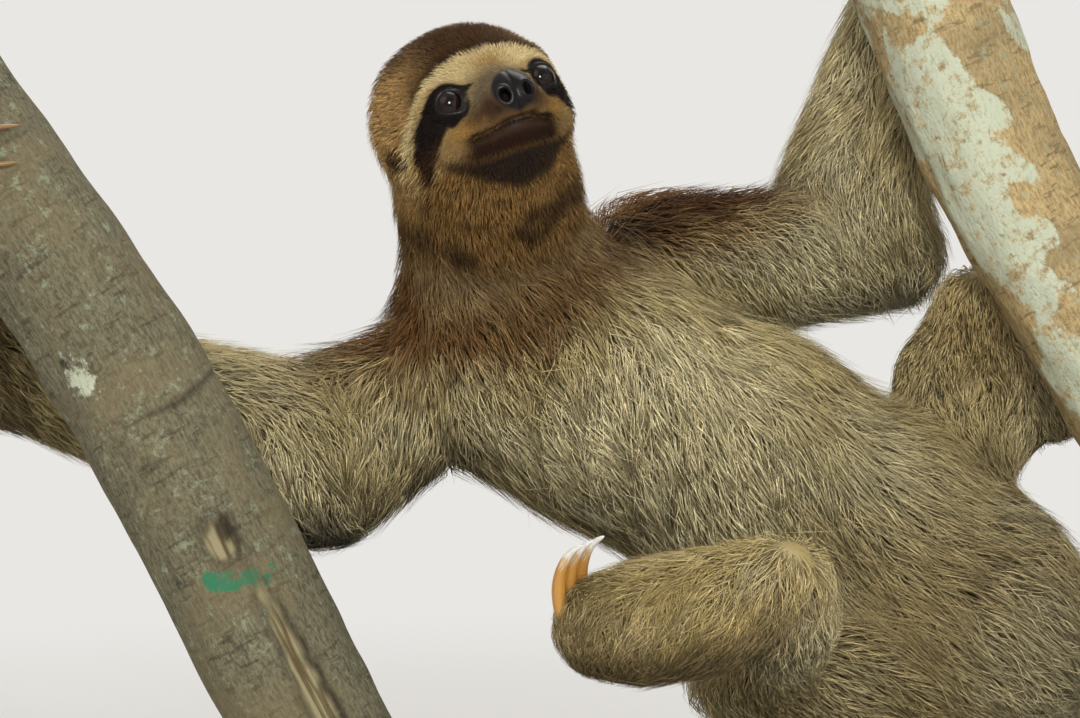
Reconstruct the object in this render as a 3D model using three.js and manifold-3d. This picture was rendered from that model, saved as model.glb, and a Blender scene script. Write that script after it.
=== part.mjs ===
// A life-size brown-throated three-toed sloth, stretched between two cut lengths of
// leaning tree trunk that two short rods hold over a flat display base.
//
// Millimetres. +Z is up, the animal's belly and face look towards -Y, and its head is at -X.
// The origin is the centre of the base's underside. Left and right are the animal's own.
//
// The flesh is one implicit form of round-ended cones, out to the tips of the coat. It is
// meshed region by region, and every body part keeps SEAM of clear space to the next.

import * as THREE from "three";
import { mergeVertices } from "three/addons/utils/BufferGeometryUtils.js";
import Module from "manifold-3d";

const wasm = await Module();
wasm.setup();

// ---------------------------------------------------------------- driving dimensions
const SEAM = 2.4; // clear space between neighbouring parts of the body
const FIT = 0.35; // clear space round a claw, an eye, a perch or a rod
const FINEST = 0.2; // cuts leave no detail finer than this
const BLEND = 26; // how softly a limb runs into the trunk
const JOINT_BLEND = 14; // how softly the bones of one limb run into each other
const FACE_BLEND = 10; // how softly the forms of the face run into each other
const NECK_BLEND = 20; // how softly the head runs into the neck

const CELL_TRUNK = 28; // mesh size on the trunk
const CELL_BODY = 20; // mesh size on the neck and limbs
const CELL_PAW = 13; // mesh size on hands, feet and tail
const CELL_HEAD = 9.5; // mesh size on the head

const EYE_RADIUS = 6.2;
const PERCH_RADIUS = 33;
const ROD_RADIUS = 6;
const BASE_SIZE = { length: 500, width: 250, thick: 18, corner: 40, bevel: 2 };

const at = (x, y, z) => new THREE.Vector3(x, y, z);

// ---------------------------------------------------------------- skeleton
// Every joint of the body, and the ends of the head, tail and paws.
const J = {
  headCentre: at(-137, -45, 362),
  neckTop: at(-129, -23, 332),
  neckBase: at(-123, 5, 297),
  chest: at(-112, 18, 260),
  ribs: at(-73, 21, 238),
  belly: at(-11, 27, 207),
  loin: at(46, 27, 167),
  pelvis: at(90, 23, 132),
  tailRoot: at(119, 40, 103),
  tailTip: at(151, 47, 79),

  shoulderRight: at(-148, 7, 246),
  elbowRight: at(-209, 2, 211),
  wristRight: at(-359, 0, 256),
  palmRight: at(-384, -24, 322),
  fingersRight: at(-402, -62, 344),

  shoulderLeft: at(-55, 35, 296),
  elbowLeft: at(63, 65, 309),
  forearmLeft: at(46, 65, 330),
  wristLeft: at(75, 58, 451),
  palmLeft: at(74, 43, 479),
  fingersLeft: at(86, 4, 501),

  hipLeft: at(104, 51, 132),
  kneeLeft: at(81, 41, 203),
  ankleLeft: at(131, 62, 247),
  heelLeft: at(140, 45, 233),
  instepLeft: at(88, 50, 247),
  toesLeft: at(101, 36, 281),

  hipRight: at(75, 20, 114),
  kneeRight: at(-11, -27, 116),
  ankleRight: at(0, -99, 148),
  heelRight: at(-2, -110, 165),
  archRight: at(-38, -112, 149),
  ballRight: at(-63, -112, 145),
  toesRight: at(-80, -110, 142),
  toeTipsRight: at(-85, -111, 148),
};

// The head's own axes: across (towards the animal's left), forward along the muzzle, and up.
const HEAD_ACROSS = at(0.858, 0.439, 0.268).normalize();
const HEAD_FORWARD = at(0.272, -0.829, 0.489).normalize();
const HEAD_UP = new THREE.Vector3().crossVectors(HEAD_FORWARD, HEAD_ACROSS).normalize();

const onHead = (across, forward, up) =>
  J.headCentre
    .clone()
    .addScaledVector(HEAD_ACROSS, across)
    .addScaledVector(HEAD_FORWARD, forward)
    .addScaledVector(HEAD_UP, up);

const EYE_PLACE = { across: 23, forward: 35, up: -10.2 };
const EAR_PLACE = { across: 44, forward: 3, up: -12 };

// Each perch is a length of trunk along a gentle bend, listed from its upper end down.
const PERCH_BENDS = {
  right: [at(-427, -70, 454), at(-339, -70, 333), at(-284, -70, 248), at(-196, -70, 79)],
  left: [at(31, 0, 540), at(71, 0, 432), at(108, 0, 339), at(163, 0, 246), at(215, 0, 156)],
};

// ---------------------------------------------------------------- signed distances
// Distance to a cone with round ends of radius ra at a and rb at b.
function roundCone(a, b, ra, rb) {
  const axis = b.clone().sub(a);
  const length2 = axis.lengthSq();
  const slope = ra - rb;
  const a2 = length2 - slope * slope;
  const inv = 1 / length2;
  return (p) => {
    const x = p.x - a.x;
    const y = p.y - a.y;
    const z = p.z - a.z;
    const t = x * axis.x + y * axis.y + z * axis.z;
    const dx = x * length2 - axis.x * t;
    const dy = y * length2 - axis.y * t;
    const dz = z * length2 - axis.z * t;
    const side2 = dx * dx + dy * dy + dz * dz;
    const past = t - length2;
    const past2 = past * past * length2;
    const along2 = t * t * length2;
    const k = Math.sign(slope) * slope * slope * side2;
    if (Math.sign(past) * a2 * past2 > k) return Math.sqrt(side2 + past2) * inv - rb;
    if (Math.sign(t) * a2 * along2 < k) return Math.sqrt(side2 + along2) * inv - ra;
    return (Math.sqrt(side2 * a2 * inv) + t * slope) * inv - ra;
  };
}

// A bone has the field of its flesh, and a core that stops short of its joints, by which a
// point between two bones is told to belong to one or the other.
const CORE = 0.25;
const cone = (a, b, ra, rb, start = CORE) => ({
  flesh: roundCone(a, b, ra, rb),
  core: roundCone(
    a.clone().lerp(b, start),
    b.clone().lerp(a, CORE),
    THREE.MathUtils.lerp(ra, rb, start),
    THREE.MathUtils.lerp(rb, ra, CORE),
  ),
});
const form = (field) => ({ flesh: field, core: field });
const ball = (centre, radius) => form((p) => p.distanceTo(centre) - radius);

// Distance to an ellipsoid that sits on the head's own axes, close enough for blending.
function headEllipsoid(across, forward, up, radii) {
  const centre = onHead(across, forward, up);
  const q = new THREE.Vector3();
  return form((p) => {
    q.subVectors(p, centre);
    const a = q.dot(HEAD_ACROSS);
    const f = q.dot(HEAD_FORWARD);
    const u = q.dot(HEAD_UP);
    const near = Math.hypot(a / radii[0], f / radii[1], u / radii[2]);
    const slope = Math.hypot(a / radii[0] ** 2, f / radii[1] ** 2, u / radii[2] ** 2);
    return slope < 1e-9 ? -Math.min(...radii) : (near * (near - 1)) / slope;
  });
}

function softMin(a, b, k) {
  const h = Math.max(k - Math.abs(a - b), 0) / k;
  return Math.min(a, b) - h * h * k * 0.25;
}

const softUnion = (bones, k) => (p) =>
  bones.reduce((near, bone) => softMin(near, bone.flesh(p), k), 1e3);

const nearestFlesh = (bones) => (p) => Math.min(...bones.map((bone) => bone.flesh(p)));
const nearestCore = (bones) => (p) => Math.min(...bones.map((bone) => bone.core(p)));

// A chain of round cones through joints, each given as [joint, radius].
const chain = (...beads) =>
  beads.slice(1).map(([joint, radius], i) => cone(beads[i][0], joint, beads[i][1], radius));

// ---------------------------------------------------------------- the body's forms
const bothSides = (make) => [make(-1), make(1)];

const CRANIUM = headEllipsoid(0, 1, -3.5, [47.5, 42, 48]);
const FACE = [
  headEllipsoid(0, 15, -9, [38, 24, 34]),
  ...bothSides((side) => ball(onHead(side * 23, 14, -20), 17)), // cheeks
  ...bothSides((side) => cone(onHead(side * 9, 32, 4), onHead(side * 24, 27, 2), 9, 9)), // brow
  cone(onHead(0, 26, -14), onHead(0, 43, -17.5), 20, 10), // muzzle and nose
  headEllipsoid(0, 36, -23, [17, 12, 8]), // upper lip
  cone(onHead(0, 22, -31), onHead(0, 34, -29.5), 16, 9), // chin
];
const THROAT = cone(onHead(0, 6, -31), J.neckTop, 28, 41);

// Body parts in the order they are made, each with its bones and its own mesh size.
const PARTS = {
  head: { bones: [CRANIUM, ...FACE, THROAT], cell: CELL_HEAD },
  neck: { bones: chain([J.neckTop, 41], [J.neckBase, 46]) },
  thorax: { bones: chain([J.neckBase, 46], [J.chest, 62], [J.ribs, 63]), cell: CELL_TRUNK },
  abdomen: { bones: chain([J.ribs, 63], [J.belly, 64], [J.loin, 63]), cell: CELL_TRUNK },
  rump: { bones: chain([J.loin, 63], [J.pelvis, 67]), cell: CELL_TRUNK },
  tail: { bones: chain([J.tailRoot, 22], [J.tailTip, 13]), cell: CELL_PAW },

  upper_arm_right: { bones: chain([J.shoulderRight, 37], [J.elbowRight, 42]) },
  forearm_right: { bones: chain([J.elbowRight, 42], [J.wristRight, 30]) },
  hand_right: {
    bones: chain([J.wristRight, 30], [J.palmRight, 20], [J.fingersRight, 13]),
    cell: CELL_PAW,
  },
  upper_arm_left: { bones: chain([J.shoulderLeft, 40], [J.elbowLeft, 31]) },
  forearm_left: { bones: chain([J.forearmLeft, 40], [J.wristLeft, 22]) },
  hand_left: {
    bones: chain([J.wristLeft, 22], [J.palmLeft, 20], [J.fingersLeft, 13]),
    cell: CELL_PAW,
  },

  thigh_right: { bones: chain([J.hipRight, 52], [J.kneeRight, 30]) },
  shank_right: { bones: chain([J.kneeRight, 30], [J.ankleRight, 24]) },
  foot_right: {
    bones: chain(
      [J.heelRight, 21],
      [J.archRight, 25],
      [J.ballRight, 24],
      [J.toesRight, 18],
      [J.toeTipsRight, 13],
    ),
    cell: CELL_PAW,
  },
  thigh_left: { bones: chain([J.hipLeft, 50], [J.kneeLeft, 34]) },
  shank_left: {
    bones: [cone(J.kneeLeft, J.ankleLeft, 35, 27, 0), cone(J.kneeLeft, J.instepLeft, 30, 22)],
  },
  foot_left: {
    bones: [cone(J.heelLeft, J.toesLeft, 18, 18), cone(J.instepLeft, J.toesLeft, 22, 18)],
    cell: CELL_PAW,
  },
};

const LIMBS = [
  ["upper_arm_right", "forearm_right", "hand_right"],
  ["upper_arm_left", "forearm_left", "hand_left"],
  ["thigh_right", "shank_right", "foot_right"],
  ["thigh_left", "shank_left", "foot_left"],
];
const AXIAL = ["neck", "thorax", "abdomen", "rump", "tail"];

const bonesOf = (names) => names.flatMap((name) => PARTS[name].bones);
const head = softUnion(PARTS.head.bones, FACE_BLEND);
const limbs = LIMBS.map((names) => softUnion(bonesOf(names), JOINT_BLEND));
const axial = softUnion(bonesOf(AXIAL), JOINT_BLEND);
const body = (p) =>
  limbs.reduce((near, limb) => softMin(near, limb(p), BLEND), softMin(axial(p), head(p), NECK_BLEND));

// ---------------------------------------------------------------- meshing
// Moves point onto the surface where field is zero, by no more than part of a cell.
function settle(point, field, cell) {
  const h = 0.25;
  const start = point.clone();
  for (let turn = 0; turn < 3; turn++) {
    const value = field(point);
    const slope = ["x", "y", "z"].map((axis) => {
      const beside = point.clone();
      beside[axis] += h;
      return (field(beside) - value) / h;
    });
    const steepness = slope.reduce((sum, d) => sum + d * d, 0);
    if (steepness < 0.05) return;
    point.addScaledVector(at(...slope), -value / steepness);
    if (point.distanceTo(start) < cell * 0.45) continue;
    point.sub(start).setLength(cell * 0.45).add(start);
    return;
  }
}

// A closed surface where field is zero inside box: one vertex in each cell that the surface
// crosses, at the mean of its edge crossings, and one quad across each crossed grid edge.
function surface(field, box, cell) {
  const size = box.getSize(new THREE.Vector3());
  const counts = [size.x, size.y, size.z].map((length) => Math.ceil(length / cell) + 1);
  const [nx, ny, nz] = counts;
  const index = (i, j, k) => (k * ny + j) * nx + i;
  const place = (i, j, k) =>
    at(box.min.x + i * cell, box.min.y + j * cell, box.min.z + k * cell);
  const values = new Float64Array(nx * ny * nz);
  for (let k = 0; k < nz; k++)
    for (let j = 0; j < ny; j++)
      for (let i = 0; i < nx; i++) values[index(i, j, k)] = field(place(i, j, k));

  const corners = [0, 1, 2, 3, 4, 5, 6, 7].map((n) => [n & 1, (n >> 1) & 1, n >> 2]);
  const edges = [];
  for (let a = 0; a < 8; a++)
    for (const bit of [1, 2, 4]) if (!(a & bit)) edges.push([a, a | bit]);

  const vertexOf = new Int32Array(nx * ny * nz).fill(-1);
  const positions = [];
  for (let k = 0; k < nz - 1; k++)
    for (let j = 0; j < ny - 1; j++)
      for (let i = 0; i < nx - 1; i++) {
        const value = corners.map(([x, y, z]) => values[index(i + x, j + y, k + z)]);
        const sum = at(0, 0, 0);
        let crossings = 0;
        for (const [a, b] of edges) {
          if (value[a] < 0 === value[b] < 0) continue;
          const t = value[a] / (value[a] - value[b]);
          const from = at(...corners[a]);
          sum.add(from.lerp(at(...corners[b]), t));
          crossings++;
        }
        if (!crossings) continue;
        vertexOf[index(i, j, k)] = positions.length / 3;
        const point = sum.divideScalar(crossings).multiplyScalar(cell).add(place(i, j, k));
        settle(point, field, cell);
        positions.push(point.x, point.y, point.z);
      }

  const triangles = [];
  const steps = [
    [1, 0, 0],
    [0, 1, 0],
    [0, 0, 1],
  ];
  for (let k = 1; k < nz - 1; k++)
    for (let j = 1; j < ny - 1; j++)
      for (let i = 1; i < nx - 1; i++)
        for (let axis = 0; axis < 3; axis++) {
          const [dx, dy, dz] = steps[axis];
          const here = values[index(i, j, k)] < 0;
          const next = values[index(i + dx, j + dy, k + dz)] < 0;
          if (here === next) continue;
          const u = steps[(axis + 1) % 3];
          const v = steps[(axis + 2) % 3];
          const quad = [
            [0, 0],
            [1, 0],
            [1, 1],
            [0, 1],
          ].map(
            ([m, n]) =>
              vertexOf[
                index(i - m * u[0] - n * v[0], j - m * u[1] - n * v[1], k - m * u[2] - n * v[2])
              ],
          );
          if (next) quad.reverse();
          triangles.push(quad[0], quad[1], quad[2], quad[0], quad[2], quad[3]);
        }

  const geometry = new THREE.BufferGeometry();
  geometry.setAttribute("position", new THREE.Float32BufferAttribute(positions, 3));
  geometry.setIndex(triangles);
  return geometry;
}

function solid(geometry) {
  const bare = new THREE.BufferGeometry();
  bare.setAttribute("position", geometry.getAttribute("position").clone());
  if (geometry.index) bare.setIndex(geometry.index.clone());
  const merged = mergeVertices(bare, 1e-4);
  return new wasm.Manifold(
    new wasm.Mesh({
      numProp: 3,
      vertProperties: new Float32Array(merged.attributes.position.array),
      triVerts: new Uint32Array(merged.index.array),
      tolerance: FINEST,
    }),
  );
}

function geometryOf(manifold) {
  const mesh = manifold.getMesh();
  const geometry = new THREE.BufferGeometry();
  geometry.setAttribute("position", new THREE.BufferAttribute(mesh.vertProperties, 3));
  geometry.setIndex(new THREE.BufferAttribute(mesh.triVerts, 1));
  geometry.computeVertexNormals();
  unpinch(geometry);
  return geometry;
}

// Where a cut leaves two corners of a solid touching at one point, each is drawn back in.
function unpinch(geometry) {
  const { position, normal } = geometry.attributes;
  const places = new Map();
  for (let i = 0; i < position.count; i++) {
    const key = [position.getX(i), position.getY(i), position.getZ(i)]
      .map((value) => value.toFixed(2))
      .join(" ");
    places.set(key, [...(places.get(key) ?? []), i]);
  }
  for (const touching of places.values()) {
    if (touching.length < 2) continue;
    for (const i of touching)
      position.setXYZ(
        i,
        position.getX(i) - normal.getX(i) * 0.05,
        position.getY(i) - normal.getY(i) * 0.05,
        position.getZ(i) - normal.getZ(i) * 0.05,
      );
  }
}

// The largest of a solid's separate bodies.
const largest = (manifold) =>
  manifold.decompose().reduce((most, one) => (one.volume() > most.volume() ? one : most));

// ---------------------------------------------------------------- swept horns and trunks
// A closed tube along curve. radiusAt(t, angle) is its radius, t from 0 at the start to 1.
function sweep(curve, radiusAt, sides, steps) {
  const frames = curve.computeFrenetFrames(steps, false);
  const positions = [];
  const triangles = [];
  for (let i = 0; i <= steps; i++) {
    const t = i / steps;
    const centre = curve.getPointAt(t);
    for (let j = 0; j < sides; j++) {
      const angle = (j / sides) * 2 * Math.PI;
      const radius = radiusAt(t, angle);
      const point = centre
        .clone()
        .addScaledVector(frames.normals[i], Math.cos(angle) * radius)
        .addScaledVector(frames.binormals[i], Math.sin(angle) * radius);
      positions.push(point.x, point.y, point.z);
    }
  }
  for (const end of [0, 1]) {
    const centre = curve.getPointAt(end);
    positions.push(centre.x, centre.y, centre.z);
  }
  const ring = (i, j) => i * sides + (j % sides);
  const startCap = (steps + 1) * sides;
  for (let j = 0; j < sides; j++) {
    for (let i = 0; i < steps; i++) {
      triangles.push(ring(i, j), ring(i, j + 1), ring(i + 1, j + 1));
      triangles.push(ring(i, j), ring(i + 1, j + 1), ring(i + 1, j));
    }
    triangles.push(startCap, ring(0, j + 1), ring(0, j));
    triangles.push(startCap + 1, ring(steps, j), ring(steps, j + 1));
  }
  const geometry = new THREE.BufferGeometry();
  geometry.setAttribute("position", new THREE.Float32BufferAttribute(positions, 3));
  geometry.setIndex(triangles);
  return geometry;
}

const CLAW = { sides: 6, steps: 5, hand: 3.6, foot: 3, spacingHand: 13, spacingFoot: 10 };

// A claw keeps its thickness for half its length and then tapers to a blunt point.
const clawRadius = (root, extra) => (t) =>
  root * Math.min(1, Math.sqrt(Math.max(1 - t, 0) * 1.7)) * (1 - 0.25 * t) + 0.25 + extra;

function clawSolids(curve, root) {
  const steps = CLAW.steps;
  return {
    claw: solid(sweep(curve, clawRadius(root, 0), CLAW.sides, steps)),
    room: solid(sweep(curve, clawRadius(root, FIT), CLAW.sides, steps)),
  };
}

// ---------------------------------------------------------------- perches
const PERCH_SIDES = 14;
const PERCH_STEPS = 7;
const PERCH_PHASE = { right: 0.4, left: 2.1 };

// The bend of a perch, made longer by extra at both ends.
function perchCurve(side, extra) {
  const points = PERCH_BENDS[side].map((point) => point.clone());
  const last = points.length - 1;
  const beyond = (end, inner) => points[end].clone().sub(points[inner]).setLength(extra);
  if (extra) {
    points[0].add(beyond(0, 1));
    points[last].add(beyond(last, last - 1));
  }
  return new THREE.CatmullRomCurve3(points);
}

// Slow swells and a few flats keep the trunk from looking turned on a lathe.
const perchRadius = (phase, extra) => (t, angle) =>
  PERCH_RADIUS +
  0.9 * Math.sin(3 * angle + 5 * t + phase) +
  0.8 * Math.sin(2 * angle - 9 * t + phase * 2) -
  1.5 * (1 - t) +
  extra;

const perchSolid = (side, extra) =>
  solid(
    sweep(perchCurve(side, extra), perchRadius(PERCH_PHASE[side], extra), PERCH_SIDES, PERCH_STEPS),
  );

// A point round a perch: at a distance along it from the top, at an angle from its -X side
// towards its front, and at a radius from its axis.
function roundPerch(side, along, angle, radius) {
  const curve = perchCurve(side, 0);
  const place = along / curve.getLength();
  const front = at(0, -1, 0);
  const leftwards = new THREE.Vector3().crossVectors(front, curve.getTangentAt(place));
  if (leftwards.x > 0) leftwards.negate();
  return curve
    .getPointAt(place)
    .addScaledVector(leftwards.normalize(), Math.cos(angle) * radius)
    .addScaledVector(front, Math.sin(angle) * radius);
}

const perchRoom = wasm.Manifold.union(perchSolid("right", FIT), perchSolid("left", FIT));

// ---------------------------------------------------------------- claws
const degrees = THREE.MathUtils.degToRad;

// Three claws hooked round a perch, side by side along it. Each reaches to an angle of its own.
function hookedClaws(side, { along, lean, from, reach, rootRadius, tipRadius, spacing, root }) {
  return [-1, 0, 1].map((place, claw) => {
    const points = [];
    const steps = 6;
    for (let i = 0; i <= steps; i++) {
      const t = i / steps;
      const angle = degrees(THREE.MathUtils.lerp(from, reach[claw], t));
      const radius = THREE.MathUtils.lerp(rootRadius, tipRadius, Math.sqrt(t));
      points.push(roundPerch(side, along + place * spacing + lean * t, angle, radius));
    }
    return clawSolids(new THREE.CatmullRomCurve3(points), root);
  });
}

// Three claws that stand free of any perch, each an arc that curls from start towards curl.
function freeClaws({ place, start, curl, spacing, length, bend, root }) {
  const across = new THREE.Vector3().crossVectors(start, curl).normalize();
  return [-1, 0, 1].map((side) => {
    const base = place.clone().addScaledVector(across, side * spacing);
    const points = [];
    const steps = 6;
    for (let i = 0; i <= steps; i++) {
      const turn = ((i / steps) * length) / bend;
      points.push(
        base
          .clone()
          .addScaledVector(start, Math.sin(turn) * bend)
          .addScaledVector(curl, (1 - Math.cos(turn)) * bend),
      );
    }
    return clawSolids(new THREE.CatmullRomCurve3(points), root);
  });
}

const CLAWS = {
  hand_right: hookedClaws("right", {
    along: 107,
    lean: 34,
    from: 2,
    reach: [118, 131, 114],
    rootRadius: 44,
    tipRadius: 37,
    spacing: CLAW.spacingHand,
    root: CLAW.hand,
  }),
  hand_left: hookedClaws("left", {
    along: 62,
    lean: -4,
    from: 172,
    reach: [62, 62, 62],
    rootRadius: 45,
    tipRadius: 37,
    spacing: CLAW.spacingHand,
    root: CLAW.hand,
  }),
  foot_left: hookedClaws("left", {
    along: 262,
    lean: 4,
    from: -55,
    reach: [-140, -146, -138],
    rootRadius: 45,
    tipRadius: 37,
    spacing: CLAW.spacingFoot,
    root: CLAW.foot,
  }),
  foot_right: freeClaws({
    place: J.toesRight.clone().add(at(-8, 0, 1)),
    start: at(-0.45, 0.15, 0.88).normalize(),
    curl: at(0.55, -0.7, 0.4).normalize(),
    spacing: 6.8,
    length: 47,
    bend: 28,
    root: CLAW.foot,
  }),
};

// ---------------------------------------------------------------- cutting the body up
// How much nearer p is to some other part's bones than to this part's own, which is about
// twice its distance from the seam between them.
function region(name) {
  const own = nearestCore(PARTS[name].bones);
  const others = nearestCore(bonesOf(Object.keys(PARTS).filter((other) => other !== name)));
  return (p) => own(p) - others(p);
}

// The box round a part's bones, found from where its own field is small on a rough grid.
function boxOf(name, reach) {
  const own = nearestFlesh(PARTS[name].bones);
  const box = new THREE.Box3();
  const step = 12;
  for (let x = -470; x <= 300; x += step)
    for (let y = -180; y <= 180; y += step)
      for (let z = 0; z <= 600; z += step) {
        const p = at(x, y, z);
        if (own(p) < reach) box.expandByPoint(p);
      }
  return box.expandByScalar(step + 2 * CELL_BODY);
}

const CUT_COARSER = 1.5; // mesh size of the faces between parts, over that of the part itself
const REACH = 36; // how far from its bones a part may still hold blended flesh
const SPILL = 1.6; // cells by which the flesh is meshed past the seams, so that they cut it clean

function bodyPart(name) {
  const { cell = CELL_BODY } = PARTS[name];
  const cutCell = Math.min(cell * CUT_COARSER, CELL_TRUNK);
  const box = boxOf(name, REACH);
  const own = nearestFlesh(PARTS[name].bones);
  const inReach = (p) => own(p) - REACH;
  const outside = region(name);
  const flesh = solid(
    surface((p) => Math.max(body(p), outside(p) / 2 - SPILL * cell, inReach(p)), box, cell),
  );
  const cutBox = box.clone().expandByScalar(2 * cutCell);
  const cut = solid(
    surface((p) => Math.max(outside(p) / 2 + SEAM / 2, inReach(p) - cell / 2), cutBox, cutCell),
  );
  return largest(flesh.intersect(cut));
}

const solids = {};
for (const name of Object.keys(PARTS)) {
  const part = bodyPart(name).subtract(perchRoom);
  const others = Object.values(solids).filter((other) => other.intersect(part).volume() > 1e-3);
  solids[name] = largest(others.reduce((rest, other) => rest.subtract(other), part));
}

// Takes room out of every body part that reaches into it.
function makeRoom(room) {
  for (const name of Object.keys(PARTS)) {
    const clear = solids[name].subtract(room);
    if (solids[name].volume() - clear.volume() > 1e-3) solids[name] = largest(clear);
  }
}

// ---------------------------------------------------------------- eyes, ears and claws
function sphereSolid(radius, centre, stretch = at(1, 1, 1), across = 9, down = 6) {
  const geometry = new THREE.SphereGeometry(radius, across, down);
  geometry.scale(stretch.x, stretch.y, stretch.z);
  const turn = new THREE.Matrix4().makeBasis(
    HEAD_ACROSS,
    HEAD_FORWARD.clone().negate(),
    HEAD_UP,
  );
  geometry.applyMatrix4(turn).translate(centre.x, centre.y, centre.z);
  return solid(geometry);
}

const EAR = { radius: 9, stretch: at(0.45, 0.8, 1) };
for (const [name, side] of [
  ["left", 1],
  ["right", -1],
]) {
  const eyePlace = onHead(side * EYE_PLACE.across, EYE_PLACE.forward, EYE_PLACE.up);
  solids[`eye_${name}`] = sphereSolid(EYE_RADIUS, eyePlace);
  makeRoom(sphereSolid(EYE_RADIUS + FIT + 0.15, eyePlace));

  const earPlace = onHead(side * EAR_PLACE.across, EAR_PLACE.forward, EAR_PLACE.up);
  solids[`ear_${name}`] = sphereSolid(EAR.radius, earPlace, EAR.stretch, 8, 5);
  makeRoom(sphereSolid(EAR.radius + FIT + 0.6, earPlace, EAR.stretch, 8, 5));
}

for (const [limb, claws] of Object.entries(CLAWS))
  claws.forEach(({ claw, room }, i) => {
    makeRoom(room);
    solids[`claw_${limb}_${i + 1}`] = claw;
  });

// ---------------------------------------------------------------- stand
function baseSolid({ length, width, thick, corner, bevel }) {
  const x = length / 2 - bevel;
  const y = width / 2 - bevel;
  const outline = new THREE.Shape();
  outline.moveTo(-x + corner, -y);
  outline.absarc(x - corner, -y + corner, corner, -Math.PI / 2, 0);
  outline.absarc(x - corner, y - corner, corner, 0, Math.PI / 2);
  outline.absarc(-x + corner, y - corner, corner, Math.PI / 2, Math.PI);
  outline.absarc(-x + corner, -y + corner, corner, Math.PI, 1.5 * Math.PI);
  const geometry = new THREE.ExtrudeGeometry(outline, {
    depth: thick - 2 * bevel,
    bevelThickness: bevel,
    bevelSize: bevel,
    bevelSegments: 1,
    curveSegments: 4,
  });
  geometry.translate(0, 0, bevel);
  return solid(geometry);
}

function rodSolid(foot, radius, height) {
  const geometry = new THREE.CylinderGeometry(radius, radius, height, 14);
  geometry.rotateX(Math.PI / 2).translate(foot.x, foot.y, foot.z + height / 2);
  return solid(geometry);
}

function collarSolid(foot) {
  const profile = [
    [0, 0],
    [16, 0],
    [16, 2.5],
    [10, 6],
    [0, 6],
  ].map(([r, h]) => new THREE.Vector2(r, h));
  const geometry = new THREE.LatheGeometry(profile, 14);
  geometry.rotateX(Math.PI / 2).translate(foot.x, foot.y, foot.z);
  return solid(geometry);
}

solids.stand_base = baseSolid(BASE_SIZE);
for (const side of ["right", "left"]) {
  const bottom = perchCurve(side, 0).getPointAt(0.97);
  const foot = at(bottom.x, bottom.y, BASE_SIZE.thick + FIT);
  solids[`stand_rod_${side}`] = largest(
    rodSolid(foot, ROD_RADIUS, bottom.z - foot.z).subtract(perchRoom),
  );
  solids[`stand_collar_${side}`] = collarSolid(foot).subtract(
    rodSolid(foot.clone().setZ(0), ROD_RADIUS + FIT, 60),
  );
  solids[`perch_${side}`] = perchSolid(side, 0);
}

// ---------------------------------------------------------------- finishes and the group
const MATERIALS = {
  coat: { color: 0x9a835c, roughness: 0.9, metalness: 0 },
  brown_coat: { color: 0x6b4a2c, roughness: 0.9, metalness: 0 },
  face_coat: { color: 0xb09a6c, roughness: 0.85, metalness: 0 },
  eye: { color: 0x1c0f0a, roughness: 0.08, metalness: 0 },
  claw: { color: 0xb08a4e, roughness: 0.45, metalness: 0 },
  bark_grey: { color: 0x8a8068, roughness: 0.95, metalness: 0 },
  bark_pale: { color: 0xa09a7c, roughness: 0.95, metalness: 0 },
  stand_lacquer: { color: 0x26241f, roughness: 0.4, metalness: 0 },
  stand_steel: { color: 0x8c8d8f, roughness: 0.35, metalness: 1 },
};

function finishOf(name) {
  if (name.startsWith("eye")) return "eye";
  if (name.startsWith("claw")) return "claw";
  if (name === "perch_right") return "bark_grey";
  if (name === "perch_left") return "bark_pale";
  if (name === "stand_base") return "stand_lacquer";
  if (name.startsWith("stand")) return "stand_steel";
  if (name === "head") return "face_coat";
  if (name === "neck" || name === "upper_arm_left") return "brown_coat";
  return "coat";
}

const sloth = new THREE.Group();
for (const [name, manifold] of Object.entries(solids)) {
  const material = new THREE.MeshStandardMaterial(MATERIALS[finishOf(name)]);
  material.flatShading = true;
  const mesh = new THREE.Mesh(geometryOf(manifold), material);
  mesh.name = name;
  sloth.add(mesh);
}

export default sloth;
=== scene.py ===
"""A brown-throated three-toed sloth at life size, stretched between two cut lengths of
leaning tree trunk on a plain display stand. Its coat, face, eyes and claws, the bark and
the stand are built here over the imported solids.

Work is done in millimetres and turned to metres where a mesh is made. +Z is up, the belly
and face look towards -Y and the head is at -X. Left and right are the animal's own.
"""

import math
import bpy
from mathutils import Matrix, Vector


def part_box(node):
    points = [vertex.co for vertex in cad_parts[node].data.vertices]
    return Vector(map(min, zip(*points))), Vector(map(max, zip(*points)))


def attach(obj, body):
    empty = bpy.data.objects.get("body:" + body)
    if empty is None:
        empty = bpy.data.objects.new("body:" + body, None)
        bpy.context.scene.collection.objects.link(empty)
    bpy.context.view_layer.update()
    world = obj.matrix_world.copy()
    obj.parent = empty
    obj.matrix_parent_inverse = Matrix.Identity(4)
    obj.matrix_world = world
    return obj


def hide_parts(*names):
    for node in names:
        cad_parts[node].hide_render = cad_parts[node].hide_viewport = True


bl_info = {
    "name": "Three-toed Sloth",
    "version": (1, 0, 0),
    "blender": (4, 5, 0),
    "location": "View3D > Sidebar > Sloth",
    "description": "Builds a life-size three-toed sloth between two trunks on a display stand",
    "category": "Object",
}

import bmesh
import bpy
import numpy as np
import openvdb
from bpy.props import FloatProperty, FloatVectorProperty, PointerProperty
from mathutils import Vector

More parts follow.
